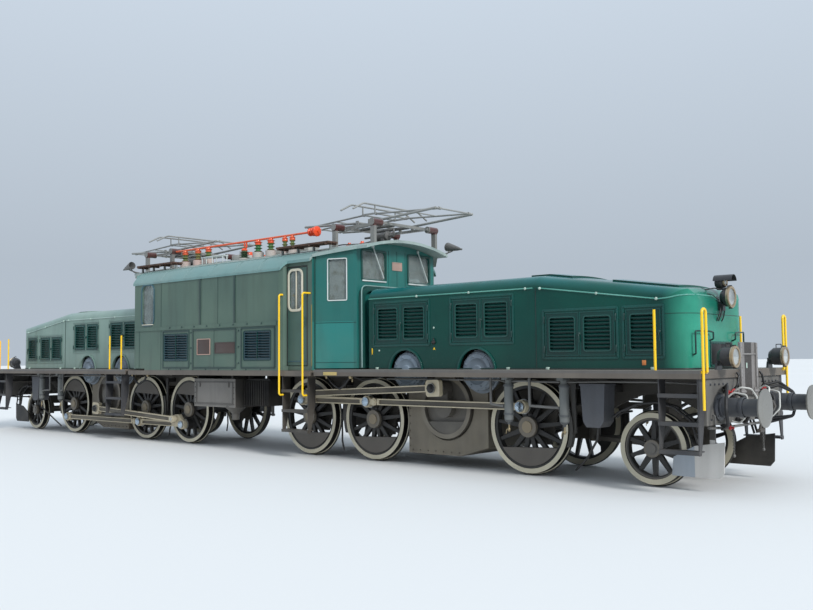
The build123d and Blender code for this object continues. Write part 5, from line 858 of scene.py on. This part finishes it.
def bonnet_marks():
    """Coloured marks, dots, a tag and a small cock on the bonnet's left side."""
    front, back = -0.957, -0.948
    fit("yellow_marks", [block((3.529, front, 1.790), (3.549, back, 1.890), 0.001),
                         turned((4.888, back, 1.865), LEFT, [(0.026, 0), (0.026, 0.006)], 3)],
        "yellow_mark")
    fit("nose_dots", [turned((x, back, z), LEFT, [(0.016, 0), (0.016, 0.010), (0.008, 0.014)], 14)
                      for x, z in ((4.885, 2.197), (3.70, 1.85))], "pale_paint")
    fit("nose_tags", [block((8.445, front, 1.600), (8.500, back, 1.665), 0.002)], "orange")
    fit("side_fitting", [turned((4.889, back, 1.966), LEFT,
                                [(0.030, 0), (0.030, 0.030), (0.016, 0.036), (0.012, 0.060)], 20),
                         tube([(4.889, -0.975, 1.975), (4.905, -0.985, 2.01), (4.885, -0.962, 2.03)],
                              0.008)], "black")


def nose_cables():
    """The cables of the two nose lamps."""
    cables = [tube([(9.15, y * 0.4, 2.42), (9.17, y, 2.33), (9.15, y * 1.3, 2.24), (9.122, y * 1.2, 2.18)],
                   0.008, 0.05) for y in (-0.10, -0.05, 0.04)]
    cables += [tube([(9.16, -0.07, 2.60), (9.12, -0.16, 2.62), (9.03, -0.22, 2.60), (8.98, -0.25, 2.612)],
                    0.009, 0.04),
               tube([(9.15, -0.10, 2.46), (9.13, -0.24, 2.52), (9.06, -0.34, 2.545), (8.96, -0.36, 2.60)],
                    0.007, 0.05)]
    cables += [turned((8.98, -0.25, 2.585), UP, [(0.03, 0), (0.03, 0.03), (0.015, 0.04)], 16)]
    fit("nose_lamp_cables", cables, "black")


def lamp_parts(x, y, z, radius):
    """The domed lens, the rim and the clamps of a headlamp. A large one has a handle too."""
    profile = [(radius * 0.80, 0), (radius * 0.78, 0.006), (radius * 0.6, 0.011), (radius * 0.3, 0.014),
               (radius * 0.05, 0.015)]
    lens = turned((x - 0.010, y, z), FORWARD, profile, 40, 0.0005)
    rim = ring((x - 0.020, y, z), FORWARD, radius * 0.80, radius * 1.03, 0.026, 48)
    clamps = []
    for level in (z - radius - 0.004, z + radius + 0.004):
        clamps.append(block((x - 0.045, y - 0.012, level - 0.012), (x + 0.004, y + 0.012, level + 0.012)))
    if radius > 0.1:
        top = z + radius + 0.035
        clamps.append(tube([(x - 0.13, y, z + radius * 0.88), (x - 0.13, y, top), (x - 0.06, y, top),
                            (x - 0.06, y, z + radius * 0.9)], 0.006, 0.015))
    return [lens], [rim], clamps


def lamp_fittings():
    """Lenses, rims and clamps of the headlamps."""
    for name, both, sizes in (("deck_lamp", True, (DECK_LAMP_X, -0.88, 1.70, 0.132)),
                              ("nose_lamp", False, (NOSE_LAMP_X, 0, 2.50, 0.142)),
                              ("small_lamp", False, (NOSE_LAMP_X - 0.08, 0, 2.708, 0.060))):
        lens, rim, metal = lamp_parts(*sizes)
        fit(name + "_lens", lens, "lamp_glass", both_sides=both)
        fit(name + "_rim", rim, "lamp_rim", both_sides=both)
        fit(name + "_clamps", metal, "black", both_sides=both)


def small_lamp_case():
    """The dark drum that the small lamp sits in, under its hood."""
    case = [turned((9.078, 0, 2.700), FORWARD, [(0.060, 0), (0.084, 0.020), (0.084, 0.095), (0.066, 0.110)],
                   32),
            block((9.10, -0.040, 2.60), (9.16, 0.040, 2.66), 0.006)]
    fit("small_lamp_case", case, "black")


def buffer_fittings():
    """Bolts and collars of the buffers, and the rivets of the beam."""
    face = BEAM_FACE
    bolts = []
    for angle in (45, 135, 225, 315):
        turn = math.radians(angle)
        bolts.append(bolt((face + 0.024, -0.875 + 0.143 * math.cos(turn), 1.078 + 0.143 * math.sin(turn)),
                          FORWARD, 0.016, 0.018))
    collars = [ring((face + 0.045, -0.875, 1.078), FORWARD, 0.112, 0.130, 0.03),
               ring((9.70, -0.875, 1.078), FORWARD, 0.104, 0.124, 0.06)]
    collars += bolt_row((face, -0.60, 1.36), (0, -0.13, 0), 5, FORWARD, 0.012, 0.012)
    collars += bolt_row((face, -0.60, 0.93), (0, -0.13, 0), 5, FORWARD, 0.012, 0.012)
    fit("buffer_bolts", bolts + collars, "buffer_fittings", both_sides=True)


def gangway_fittings():
    """The rails, the tag and the stays of the upright gangway plate."""
    face, front = BEAM_FACE, PLATE_FACE
    rails = [block((front, -0.29, 1.23), (front + 0.022, -0.245, 1.885)),
             block((front, -0.24, 1.725), (front + 0.014, 0.0, 1.745), 0.003),
             rod((front + 0.012, -0.31, 1.245), (front + 0.012, -0.15, 1.245), 0.018),
             block((face, -0.34, 1.15), (face + 0.045, -0.30, 1.30))]
    rails += bolt_row((front + 0.020, -0.267, 1.30), (0, 0, 0.13), 5, FORWARD, 0.008, 0.008)
    fit("gangway_rails", rails, "gangway", both_sides=True)
    fit("gangway_tag", [block((front, -0.075, 1.55), (front + 0.004, -0.035, 1.62), 0.001)], "pale_paint")
    stands = [tube([(front, -0.40, 1.50), (front + 0.03, -0.40, 1.46), (front + 0.03, -0.46, 1.34),
                    (face + 0.02, -0.48, 1.26)], 0.014, 0.03)]
    fit("plate_stays", stands, "black", both_sides=True)


def end_hoses():
    """The brake hoses, the pale hoses and the red cocks on the beam."""
    face = BEAM_FACE
    black_hose = tube([(face, -0.50, 1.20), (face + 0.09, -0.50, 1.24), (face + 0.20, -0.48, 1.16),
                       (face + 0.22, -0.44, 0.98), (face + 0.14, -0.38, 0.86), (face + 0.03, -0.34, 0.90)],
                      0.022, 0.07)
    ends = [turned((face, -0.50, 1.20), (1, 0, 0.1), [(0.034, 0), (0.034, 0.05), (0.026, 0.06)], 20),
            turned((face, -0.34, 0.895), (1, 0, -0.1), [(0.032, 0), (0.032, 0.04), (0.024, 0.05)], 20)]
    black_hoses = [black_hose] + [tube([(face, -0.69, 1.26 + rise), (face + 0.12, -0.90, 1.30 + rise),
                                        (face + 0.22, -1.18, 1.20), (face + 0.24, -1.24, 1.05),
                                        (face + 0.22, -1.14, 0.87), (face + 0.02, -0.84, 0.80 + rise)],
                                       0.021, 0.07) for rise in (0.0, 0.05)]
    fit("brake_hoses", black_hoses + ends, "rubber", both_sides=True)
    pale = [tube([(face, -0.42, 1.25), (face + 0.10, -0.41, 1.31), (face + 0.20, -0.32, 1.29),
                  (face + 0.23, -0.20, 1.17), (face + 0.14, -0.13, 1.06), (face + 0.02, -0.13, 1.02)],
                 0.012, 0.06),
            tube([(face, -0.66, 1.17), (face + 0.09, -0.62, 1.25), (face + 0.24, -0.58, 1.22),
                  (face + 0.25, -0.55, 1.00), (face + 0.12, -0.52, 0.86), (face + 0.02, -0.52, 0.88)],
                 0.012, 0.06)]
    fit("pale_hoses", pale, "pale_hose", both_sides=True)
    cocks = [turned((face, y, z), FORWARD, [(0.030, 0), (0.030, 0.02), (0.014, 0.024), (0.014, 0.06)], 20)
             for y, z in ((-0.59, 1.25), (-0.56, 0.80))]
    cocks.append(tube([(face + 0.05, -0.59, 1.25), (face + 0.06, -0.57, 1.28),
                       (face + 0.055, -0.50, 1.285)], 0.011, 0.02))
    fit("red_cocks", cocks, "red_paint", both_sides=True)


def hanging_chains():
    """A chain of flat links with a weight, hung from the beam on each side."""
    face = BEAM_FACE
    links = [ring((face + 0.030, -0.513, 0.745 - 0.021 * number), FORWARD if number % 2 else RIGHT, 0.008,
                  0.0145, 0.006, 14) for number in range(14)]
    links += [rod((face, -0.513, 0.757), (face + 0.034, -0.513, 0.757), 0.007),
              turned((face + 0.030, -0.513, 0.462), DOWN,
                     [(0.012, 0), (0.020, 0.012), (0.020, 0.03), (0.008, 0.04)], 18)]
    fit("hanging_chains", links, "steel_pipe", both_sides=True)


def beam_pipes():
    """The pipes below the beam."""
    face = BEAM_FACE
    pipes = [tube([(face, -1.08, 0.985), (face + 0.03, -1.08, 0.98), (face + 0.03, -1.07, 0.875),
                   (face + 0.03, -0.71, 0.86), (face + 0.03, -0.70, 0.935), (face, -0.70, 0.94)], 0.012,
                  0.03),
             tube([(face - 0.02, -1.15, 0.83), (face - 0.02, -0.60, 0.80), (face - 0.05, -0.30, 0.80),
                   (face - 0.05, 0, 0.80)], 0.018, 0.05)]
    fit("beam_pipes", pipes, "steel_pipe", both_sides=True)


def tank_fittings():
    """Bands, feet and drain cocks of the upright air tanks."""
    y = TANK_Y
    bands, brass = [], []
    for x in (6.49, 7.41):
        bands += [ring((x, y, z), UP, 0.060, 0.074, 0.03, 32) for z in (1.30, 0.90)]
        bands.append(turned((x, y, 0.835), DOWN,
                            [(0.064, 0), (0.052, 0.03), (0.022, 0.048), (0.018, 0.075)], 28))
        brass += [rod((x, y, 0.79), (x, y, 0.66), 0.011),
                  turned((x, y, 0.71), DOWN, [(0.02, 0), (0.022, 0.03), (0.012, 0.04)], 12),
                  tube([(x, y, 0.70), (x - 0.03, y - 0.02, 0.69), (x - 0.035, y - 0.03, 0.63)], 0.006,
                       0.01)]
    fit("tank_bands", bands, "tank_grey", both_sides=True)
    fit("tank_cocks", brass, "brass", both_sides=True)


def truck_pipes():
    """The air pipes under the footplate, and the sand pipes down to the wheels."""
    y = TANK_Y
    pipes = [tube([(6.236, -1.30, 1.44), (6.236, -1.30, 1.05), (6.43, -1.26, 1.02)], 0.020, 0.04),
             tube([(6.89, -1.28, 1.44), (6.89, -1.28, 1.04), (7.345, -1.24, 1.02)], 0.020, 0.05),
             tube([(6.55, y, 1.375), (6.75, -1.19, 1.385), (6.95, y, 1.375), (7.35, y, 1.375)], 0.016,
                  0.05),
             tube([(3.9, -0.98, 1.385), (5.1, -0.98, 1.385), (6.2, -1.02, 1.385), (6.44, y + 0.02, 1.36)],
                  0.016, 0.08),
             tube([(7.46, y, 1.372), (8.0, -1.19, 1.385), (8.9, -1.15, 1.385), (9.38, -1.10, 1.36)], 0.014,
                  0.08)]
    sand = [tube([(7.825, -1.04, 0.79), (7.80, -1.02, 0.60), (7.52, -0.84, 0.30), (7.30, -0.76, 0.13)],
                 0.016, 0.06),
            tube([(2.56, -0.66, 0.90), (2.56, -0.70, 0.60), (2.62, -0.76, 0.30), (2.66, -0.76, 0.12)],
                 0.016, 0.05)]
    fit("air_pipes", pipes, "steel_pipe", both_sides=True)
    fit("sand_pipes", sand, "black", both_sides=True)


def cable_loops():
    """The cables that hang below the footplate by the cab, and the glands they come out of."""
    loops = [tube([(2.74, -1.24, 1.435), (2.86, -1.24, 1.31), (3.06, -1.25, 1.215), (3.20, -1.25, 1.30),
                   (3.31, -1.24, 1.435)], 0.022, 0.07),
             tube([(3.33, -1.22, 1.435), (3.45, -1.22, 1.40), (3.60, -1.22, 1.36), (3.86, -1.20, 1.40),
                   (4.02, -1.18, 1.435)], 0.013, 0.07)]
    fit("cable_loops", loops, "rubber", both_sides=True)
    glands = [turned((x, -1.24, 1.436), DOWN, [(0.034, 0), (0.034, 0.025), (0.026, 0.05)], 20)
              for x in (2.74, 3.31)]
    glands.append(rod((3.30, -1.19, 1.436), (3.30, -1.19, 1.33), 0.012))
    fit("cable_glands", glands, "brass", both_sides=True)


def ribbed_guards():
    """The ribbed guard over each carrying wheel: two bent rails with rungs between, on stays."""
    inner, outer = -0.885, -1.0
    rail = ((8.02, 0.90), (8.12, 0.98), (8.38, 1.09), (8.67, 1.12), (8.90, 1.06), (9.12, 0.90), (9.20, 0.62))
    steps = ((8.12, 0.965), (8.25, 1.03), (8.38, 1.075), (8.52, 1.10), (8.67, 1.115), (8.80, 1.09),
             (8.92, 1.03), (9.03, 0.955), (9.12, 0.86), (9.17, 0.74))
    ribs = [tube([(x, y, z) for x, z in rail], 0.016, 0.08) for y in (inner, outer)]
    rungs = [rod((x, inner, z), (x, outer, z), 0.012, 10) for x, z in steps]
    stay = [rod((8.67, -0.90, 1.12), (8.67, -0.62, 1.20), 0.016),
            rod((8.10, -0.90, 0.97), (8.10, -0.60, 0.97), 0.016),
            rod((9.12, -0.90, 0.88), (9.12, -0.60, 1.00), 0.016)]
    fit("ribbed_guards", ribs + rungs + stay, "black", both_sides=True)


def gear_case_bolts():
    """Bolts along the foot and the inner edge of the gear case."""
    bolts = bolt_row((4.28, GEAR_CASE_SKIN, 0.24), (0.16, 0, 0), 7, radius=0.011)
    bolts += bolt_row((4.225, GEAR_CASE_SKIN, 0.30), (0, 0, 0.12), 7, radius=0.011)
    fit("gear_case_flange", bolts, "bolt_dull", both_sides=True)


def pin_fittings():
    """The nut on each crank pin, with its own small bolts, on the wheel or crank disc that carries it."""
    for (end, side), angle in CRANK_ANGLES.items():
        across, up = CRANK * math.cos(math.radians(angle)), CRANK * math.sin(math.radians(angle))
        for name, (x, z, out, deep, finish, body) in CRANK_PINS.items():
            centre = Vector((x + across, -out, z + up))
            flange = [(0.070, 0), (0.070, deep * 0.3), (0.046, deep * 0.4), (0.044, deep * 0.8)]
            parts = [turned(centre, LEFT, flange, 32),
                     turned(centre + Vector((0, -deep * 0.7, 0)), LEFT, [(0.030, 0), (0.030, deep * 0.3)],
                            6)]
            parts += bolt_ring(centre, 0.058, 6, 0.005, deep * 0.6)
            nut_name = "pin_nut_" + name + "_" + side + "_" + end
            placed(joined(parts), nut_name, end, "right" if side == "far" else "left", finish,
                   body + "_" + end)


def body_battens():
    """Battens, panel frames, seams and bolts of the body's side."""
    skin = BODY_SKIN
    dark = [block((x - 0.024, skin - 0.012, LEDGE_TOP), (x + 0.024, skin + 0.002, 3.325), 0.003)
            for x in (-0.569, 0.505)]
    for first, last in ((-1.84, -0.917), (-0.816, 0.553), (0.689, 1.664)):
        dark.append(frame_of((first, skin, 1.556), (last, skin, 2.318), 0.034, 0.009, 0.03))
    dark += [tube([(x, skin - 0.001, low), (x, skin - 0.001, high)], 0.005)
             for x, low, high in ((-0.009, LEDGE_TOP, 3.33), (-1.901, 1.53, 3.33), (-2.696, 1.53, 2.38),
                                  (-0.123, 1.57, 2.31))]
    dark.append(tube([(-2.84, skin - 0.001, 2.37), (-1.90, skin - 0.001, 2.37)], 0.005))
    fit("body_battens", dark, "batten", "body")
    bolts = bolt_row((-1.57, skin - 0.014, 2.375), (0.41, 0, 0), 8, radius=0.015)
    bolts += bolt_row((-1.62, skin, 1.543), (0.41, 0, 0), 8, radius=0.012, height=0.010)
    for x in (-0.867, 0.621):
        bolts += bolt_row((x, skin, 1.66), (0, 0, 0.30), 3, radius=0.015)
    fit("body_bolts", bolts, "batten", "body")


def louvre_and_plate_trim():
    """What surrounds the louvres of the body's side, and its two blank plates."""
    skin = BODY_SKIN
    plain = [block((x - 0.008, skin - 0.004, low), (x + 0.008, skin + 0.02, high), 0.002)
             for x, low, high in ((-1.390, 1.72, 2.235), (1.154, 1.72, 2.235))]
    plain.append(frame_of((-1.81, skin, 1.700), (-0.97, skin, 2.254), 0.016, 0.006, 0.04))
    plain.append(frame_of((0.761, skin, 1.700), (1.548, skin, 2.254), 0.016, 0.006, 0.04))
    fit("louvre_surrounds", plain, "louvre_leaf", "body")
    plate_a = [frame_of((-0.663, skin, 1.822), (-0.242, skin, 2.132), 0.014, 0.010, 0.01)]
    plate_b = [block((-0.090, skin - 0.010, 1.843), (0.519, skin + 0.001, 2.053), 0.003),
               block((-0.646, skin - 0.006, 1.839), (-0.259, skin + 0.001, 2.115), 0.002),
               frame_of((-0.090, skin - 0.010, 1.843), (0.519, skin - 0.010, 2.053), 0.012, 0.004, 0.01)]
    fit("blank_plate_rim", plate_a, "plate_red", "body")
    fit("blank_plates", plate_b, "plate_dark", "body")


def side_window_trim():
    """The frame of the window behind the machine room."""
    skin = BODY_SKIN
    windows = [frame_of((-2.63, skin, 2.427), (-2.14, skin, 3.305), 0.034, 0.012, 0.14)]
    fit("rear_window_frame", windows, "window_blue", "body")
    fit("rear_window_pale_edge",
        [block((-2.585, skin - 0.016, 2.452), (-2.185, skin - 0.002, 2.470), 0.003)], "cream_frame",
        "body")


def door_trim():
    """The door's window frame and rail, and the trim and seal of its opening."""
    skin = DOOR_SKIN
    frame_parts = [frame_of((1.868, skin, 2.556), (2.268, skin, 3.315), 0.045, 0.010, 0.12)]
    frame_parts.append(block((2.075, skin - 0.006, 2.60), (2.093, skin + 0.012, 3.27), 0.003))
    fit("door_window_frame", frame_parts, "cream_frame", "cab_door")
    fit("door_rail", [block((1.868, skin - 0.008, 1.676), (2.352, skin + 0.001, 1.692), 0.002)],
        "window_blue", "cab_door")
    fit("door_trim", [block((2.480, skin - 0.008, 1.60), (2.492, skin + 0.001, 2.66), 0.002)], "door_edge",
        "body")
    edges = [tube([(1.846, skin - 0.002, 1.60), (1.846, skin - 0.002, 3.344), (2.374, skin - 0.002, 3.344),
                   (2.374, skin - 0.002, 1.60)], 0.010, 0.02)]
    fit("door_seal", edges, "black", "body")


def cab_panel_trim():
    """The slanting panel beside the door: its window frame, its seams and its corner post."""
    panel_turn = Matrix.Translation((2.5, -1.31, 0)) @ Matrix.Rotation(math.atan2(0.29, 0.75), 4, "Z")
    pane = [frame_of((0.252, 0, 2.712), (0.628, 0, 3.448), 0.018, 0.012, 0.03)]
    seams = [tube([(0.02, -0.002, 2.34), (0.79, -0.002, 2.34)], 0.005),
             tube([(0.02, -0.002, 1.66), (0.79, -0.002, 1.66)], 0.004)]
    posts = [tube([(0.015, -0.004, 1.57), (0.015, -0.004, 3.50)], 0.014)]
    for piece in pane + seams + posts:
        piece.data.transform(panel_turn)
    fit("cab_window_frame", pane, "pale_frame", "body")
    fit("cab_panel_seams", seams + posts, "teal_dark", "body")


def cab_end_trim():
    """Window rubbers, wipers, the blank plate and the seams of the cab's end wall."""
    wall = CAB_END_X
    rubber, lower, wipers = [], [], []
    for centre in (-0.595, 0.595):
        rubber.append(frame_of((wall, centre - 0.325, 3.05), (wall, centre + 0.325, 3.61), 0.040, 0.014,
                               0.06, FORWARD))
        lower.append(block((wall + 0.002, centre - 0.30, 3.048), (wall + 0.020, centre + 0.30, 3.072), 0.003))
        wipers += [tube([(wall + 0.012, centre - 0.03, 3.66), (wall + 0.040, centre - 0.01, 3.55),
                         (wall + 0.030, centre + 0.22, 3.12)], 0.010, 0.02),
                   turned((wall, centre - 0.03, 3.66), FORWARD, [(0.028, 0), (0.028, 0.02), (0.012, 0.03)],
                          20)]
    fit("end_window_rubbers", rubber, "teal_dark", "body")
    fit("end_window_edges", lower, "pale_frame", "body")
    fit("wipers", wipers, "pale_frame", "body")
    fit("end_blank_plate",
        [frame_of((wall, -0.13, 3.28), (wall, 0.13, 3.43), 0.016, 0.010, 0.01, FORWARD),
         block((wall, -0.116, 3.294), (wall + 0.005, 0.116, 3.416), 0.001)], "plate_red",
        "body")
    seams = [tube([(wall + 0.001, y, 2.98), (wall + 0.001, y, 3.62)], 0.004) for y in (-0.22, 0.22, 0.0)]
    fit("end_wall_seams", seams, "teal_dark", "body")


def gaiter_and_fascia_trim():
    """The pale edge of the ring that the gaiter hangs on, and the tag on the fascia below."""
    edge = [(GAITER_X, -GAITER_HALF, 1.57), (GAITER_X, -GAITER_HALF, GAITER_TOP), (GAITER_X, 0, GAITER_TOP)]
    fit("gaiter_edges", [tube(edge, 0.010, 0.22)], "gutter", "body", both_sides=True)
    tag = [block((2.90, -1.482, 1.447), (3.22, -1.474, 1.502), 0.002)]
    fit("fascia_tag", tag, "tan")


def equipment_case_trim():
    """The door, bolts and hinges of the case below the body, and the funnel under it."""
    case = [frame_of((-0.93, CASE_SKIN, 0.87), (0.24, CASE_SKIN, 1.31), 0.030, 0.010, 0.02)]
    for x in (-0.955, 0.262):
        case += bolt_row((x, CASE_SKIN, 0.88), (0, 0, 0.105), 5, radius=0.010)
    case += [rod((x, CASE_SKIN - 0.006, 1.20), (x, CASE_SKIN - 0.006, 1.30), 0.014) for x in (-0.80, 0.11)]
    fit("equipment_case_door", case, "case_trim", "body")
    funnel = [turned((0.06, -1.10, 0.86), DOWN,
                     [(0.20, 0), (0.21, 0.03), (0.19, 0.05), (0.075, 0.16), (0.070, 0.28)], 36)]
    fit("case_funnel", funnel, "case_trim", "body")


def roof_seams():
    """The seams across the roof and its gutters."""
    section = [(-1.492, 3.345), (-1.455, 3.400), (-1.382, 3.489), (-1.310, 3.548), (-1.230, 3.583),
               (-1.0, 3.653), (-0.6, 3.742), (0.0, 3.792)]
    seams = []
    for x in (-2.62, -1.90, -1.10, -0.30, 0.50, 1.20):
        seams.append(tube([(x, y, z + 0.002) for y, z in section], 0.006, 0.03))
        seams.append(tube([(x, -y, z + 0.002) for y, z in section], 0.006, 0.03))
    fit("roof_seams", seams, "roof_seam", "body", ends=("front",))
    gutter = [tube([(-2.915, -1.482, 3.335), (1.78, -1.482, 3.335)], 0.009),
              tube([(-2.915, -1.226, 3.588), (1.90, -1.226, 3.588), (2.49, -1.226, 3.588)], 0.008)]
    fit("roof_gutters", gutter, "gutter", "body")


def roof_rack():
    """The small rack of round bars on the roof."""
    frames = [rod((x, y, 3.66), (x, y, 3.80), 0.011, 10) for x in (-1.20, -0.86, -0.52)
              for y in (-0.98, -0.88)]
    frames += [rod((-1.23, y, 3.80), (-0.49, y, 3.80), 0.013, 10) for y in (-0.98, -0.88)]
    frames += [rod((x, -0.98, 3.80), (x, -0.88, 3.80), 0.011, 10) for x in (-1.20, -0.86, -0.52)]
    fit("roof_frame_rack", frames, "pale_frame", "body")


def insulator_caps():
    """The caps of the busbar's insulators, its through insulator and its link down."""
    caps = []
    for x in (-2.10, -1.65, -1.29, 0.31, 0.69):
        caps.append(turned((x, BUSBAR_Y, 3.945), UP,
                           [(0.050, 0), (0.062, 0.012), (0.062, 0.045), (0.034, 0.065), (0.030, 0.09)], 24))
    for x in (1.10, 1.31):
        caps.append(turned((x, BUSBAR_Y, 3.93), UP,
                           [(0.044, 0), (0.054, 0.012), (0.054, 0.05), (0.030, 0.08)], 24))
    caps += [turned((1.78, BUSBAR_Y, 4.045), FORWARD,
                    [(0.040, 0), (0.075, 0.02), (0.075, 0.05), (0.045, 0.06), (0.045, 0.08), (0.080, 0.10),
                     (0.080, 0.13), (0.045, 0.14), (0.045, 0.17)], 24),
             turned((1.95, BUSBAR_Y, 4.045), FORWARD,
                    [(0.060, 0), (0.095, 0.01), (0.095, 0.045), (0.04, 0.06)], 24),
             tube([(-0.05, BUSBAR_Y, 4.03), (-0.05, BUSBAR_Y, 3.93), (-0.115, BUSBAR_Y, 3.90)], 0.018,
                  0.04),
             turned((-0.115, BUSBAR_Y, 3.865), UP,
                    [(0.055, 0), (0.065, 0.015), (0.045, 0.045), (0.02, 0.055)], 24)]
    fit("insulator_caps", caps, "busbar_caps", "body")


def pantograph_gear():
    """The springs and the raising cylinder of a pantograph."""
    gear = [tube([(2.56, y, 4.068), (3.40, y, 4.068)], 0.024) for y in (-0.20, 0.20)]
    coils = [Vector((0.028 * number, 0, 0)) for number in range(1, 28)]
    for y in (-0.20, 0.20):
        gear += again(ring((2.60, y, 4.068), FORWARD, 0.022, 0.030, 0.010, 20), coils)
    fit("pantograph_springs", gear, "steel_pipe", "body")
    cylinder = [turned((2.66, 0, 3.93), FORWARD,
                       [(0.05, 0), (0.085, 0.01), (0.085, 0.05), (0.07, 0.06), (0.07, 0.34), (0.085, 0.35),
                        (0.085, 0.39), (0.03, 0.40), (0.03, 0.52)], 32),
                rod((3.18, 0, 3.93), (3.18, 0, 4.05), 0.02),
                rod((2.51, -0.05, 3.93), (2.66, -0.05, 3.93), 0.02)]
    cylinder += [block((x - 0.03, -0.10, 3.77), (x + 0.03, 0.10, 3.88)) for x in (2.74, 2.98)]
    fit("raising_cylinders", cylinder, "steel_pipe", "body")


def roof_cables():
    """Two cables from the pantograph's base to the roof."""
    cables = [tube([(2.51, -0.60, 4.06), (2.36, -0.66, 4.10), (2.16, -0.74, 4.07), (2.11, BUSBAR_Y, 4.05)],
                   0.014, 0.05),
              tube([(2.68, -0.05, 3.86), (2.60, -0.25, 3.80), (2.30, -0.42, 3.80), (2.10, -0.50, 3.775)],
                   0.012, 0.05)]
    fit("roof_cables", cables, "steel_pipe", "body", ends=("front",))


def roof_boxes():
    """Pale boxes on the roof, each with its outlet."""
    boxes = [block((x - 0.16, -0.50, 3.74), (x + 0.16, -0.22, 3.86), 0.010) for x in (-0.70, 0.50, 1.30)]
    boxes += [rod((x, -0.36, 3.85), (x, -0.36, 3.93), 0.03) for x in (-0.70, 0.50, 1.30)]
    fit("roof_boxes", boxes, "roof_box", "body")


def canopy_scoops():
    """The scoop on its bracket at the corner of each canopy."""
    scoop = [turned((3.44, 1.20, 3.80), (1, 0, -0.22),
                    [(0.030, 0.16), (0.072, 0.02), (0.080, 0.0), (0.084, 0.02), (0.062, 0.14),
                     (0.036, 0.27), (0.020, 0.32), (0.016, 0.36)], 32),
             tube([(3.40, 1.04, 3.640), (3.46, 1.12, 3.66), (3.56, 1.18, 3.70), (3.62, 1.195, 3.735)],
                  0.012, 0.03),
             tube([(3.50, 1.05, 3.636), (3.50, 1.13, 3.66), (3.50, 1.20, 3.73)], 0.010, 0.03)]
    fit("canopy_horns", scoop, "steel_pipe", "body")


BONNET = (leaf_fittings, bead_fittings, seam_fittings, motor_fittings, nose_rails, nose_slot, bonnet_marks,
          nose_cables, lamp_fittings, small_lamp_case)
TRUCK_END = (buffer_fittings, gangway_fittings, end_hoses, hanging_chains, beam_pipes)
UNDER = (tank_fittings, truck_pipes, cable_loops, ribbed_guards, gear_case_bolts, pin_fittings)
BODY = (body_battens, louvre_and_plate_trim, side_window_trim, door_trim, cab_panel_trim, cab_end_trim,
        gaiter_and_fascia_trim, equipment_case_trim)
ROOF = (roof_seams, roof_rack, insulator_caps, pantograph_gear, roof_cables, roof_boxes, canopy_scoops)
for make in BONNET + TRUCK_END + UNDER + BODY + ROOF:
    make()


def pale_floor():
    """The floor that the vehicle stands on."""
    bpy.ops.object.select_all(action="DESELECT")
    bpy.ops.mesh.primitive_plane_add(size=900, location=(0, 0, 0))
    floor = bpy.context.active_object
    floor.name = "floor"
    made = Finish("studio_floor")
    shade = made.mix(made.noise(0.05, 2.0), tone(214, 214, 212), tone(222, 222, 220))
    made.put(made.shader.inputs["Base Color"], shade)
    made.shader.inputs["Roughness"].default_value = 0.9
    floor.data.materials.append(made.material)


def pale_sky():
    """An even sky, dimmer by the horizon."""
    world = bpy.data.worlds.new("studio_sky")
    bpy.context.scene.world = world
    world.use_nodes = True
    sky = world.node_tree.nodes["Background"]
    sky.inputs["Color"].default_value = tone(216, 229, 243)
    nodes, links = world.node_tree.nodes, world.node_tree.links
    parts = nodes.new("ShaderNodeSeparateXYZ")
    links.new(nodes.new("ShaderNodeNewGeometry").outputs["Incoming"], parts.inputs[0])
    height = nodes.new("ShaderNodeMath")
    height.operation = "ABSOLUTE"
    links.new(parts.outputs[2], height.inputs[0])
    strength = nodes.new("ShaderNodeMapRange")
    for name, value in (("From Min", 0.1), ("From Max", 0.75), ("To Min", 0.66), ("To Max", 1.15)):
        strength.inputs[name].default_value = value
    links.new(height.outputs[0], strength.inputs["Value"])
    links.new(strength.outputs[0], sky.inputs["Strength"])


def soft_sun():
    """One soft sun from ahead on the left."""
    sun = bpy.data.lights.new("soft_sun", "SUN")
    sun.energy = 2.6
    sun.angle = math.radians(14)
    lamp = bpy.data.objects.new("soft_sun", sun)
    lamp.rotation_euler = Vector((-0.84, 0.24, -0.56)).to_track_quat("-Z", "Y").to_euler()
    bpy.context.collection.objects.link(lamp)


def photograph_camera():
    """The camera at the photograph's place and angle."""
    camera = bpy.data.objects.new("camera", bpy.data.cameras.new("camera"))
    bpy.context.collection.objects.link(camera)
    camera.data.sensor_width = SENSOR
    camera.data.lens = FOCAL_PIXELS / IMAGE_WIDTH * SENSOR
    camera.data.clip_end = 2000
    forward = Vector((-math.sin(CAMERA_YAW) * math.cos(CAMERA_PITCH),
                      math.cos(CAMERA_YAW) * math.cos(CAMERA_PITCH), math.sin(CAMERA_PITCH)))
    right = Vector((math.cos(CAMERA_YAW), math.sin(CAMERA_YAW), 0))
    up = right.cross(forward)
    level, tilt = math.cos(CAMERA_ROLL), math.sin(CAMERA_ROLL)
    columns = (level * right + tilt * up, level * up - tilt * right, -forward)
    turn = Matrix(columns).transposed().to_4x4()
    camera.matrix_world = Matrix.Translation(CAMERA_PLACE) @ turn
    bpy.context.scene.camera = camera


pale_floor()
pale_sky()
soft_sun()
photograph_camera()
bpy.context.scene.view_settings.view_transform = "Standard"
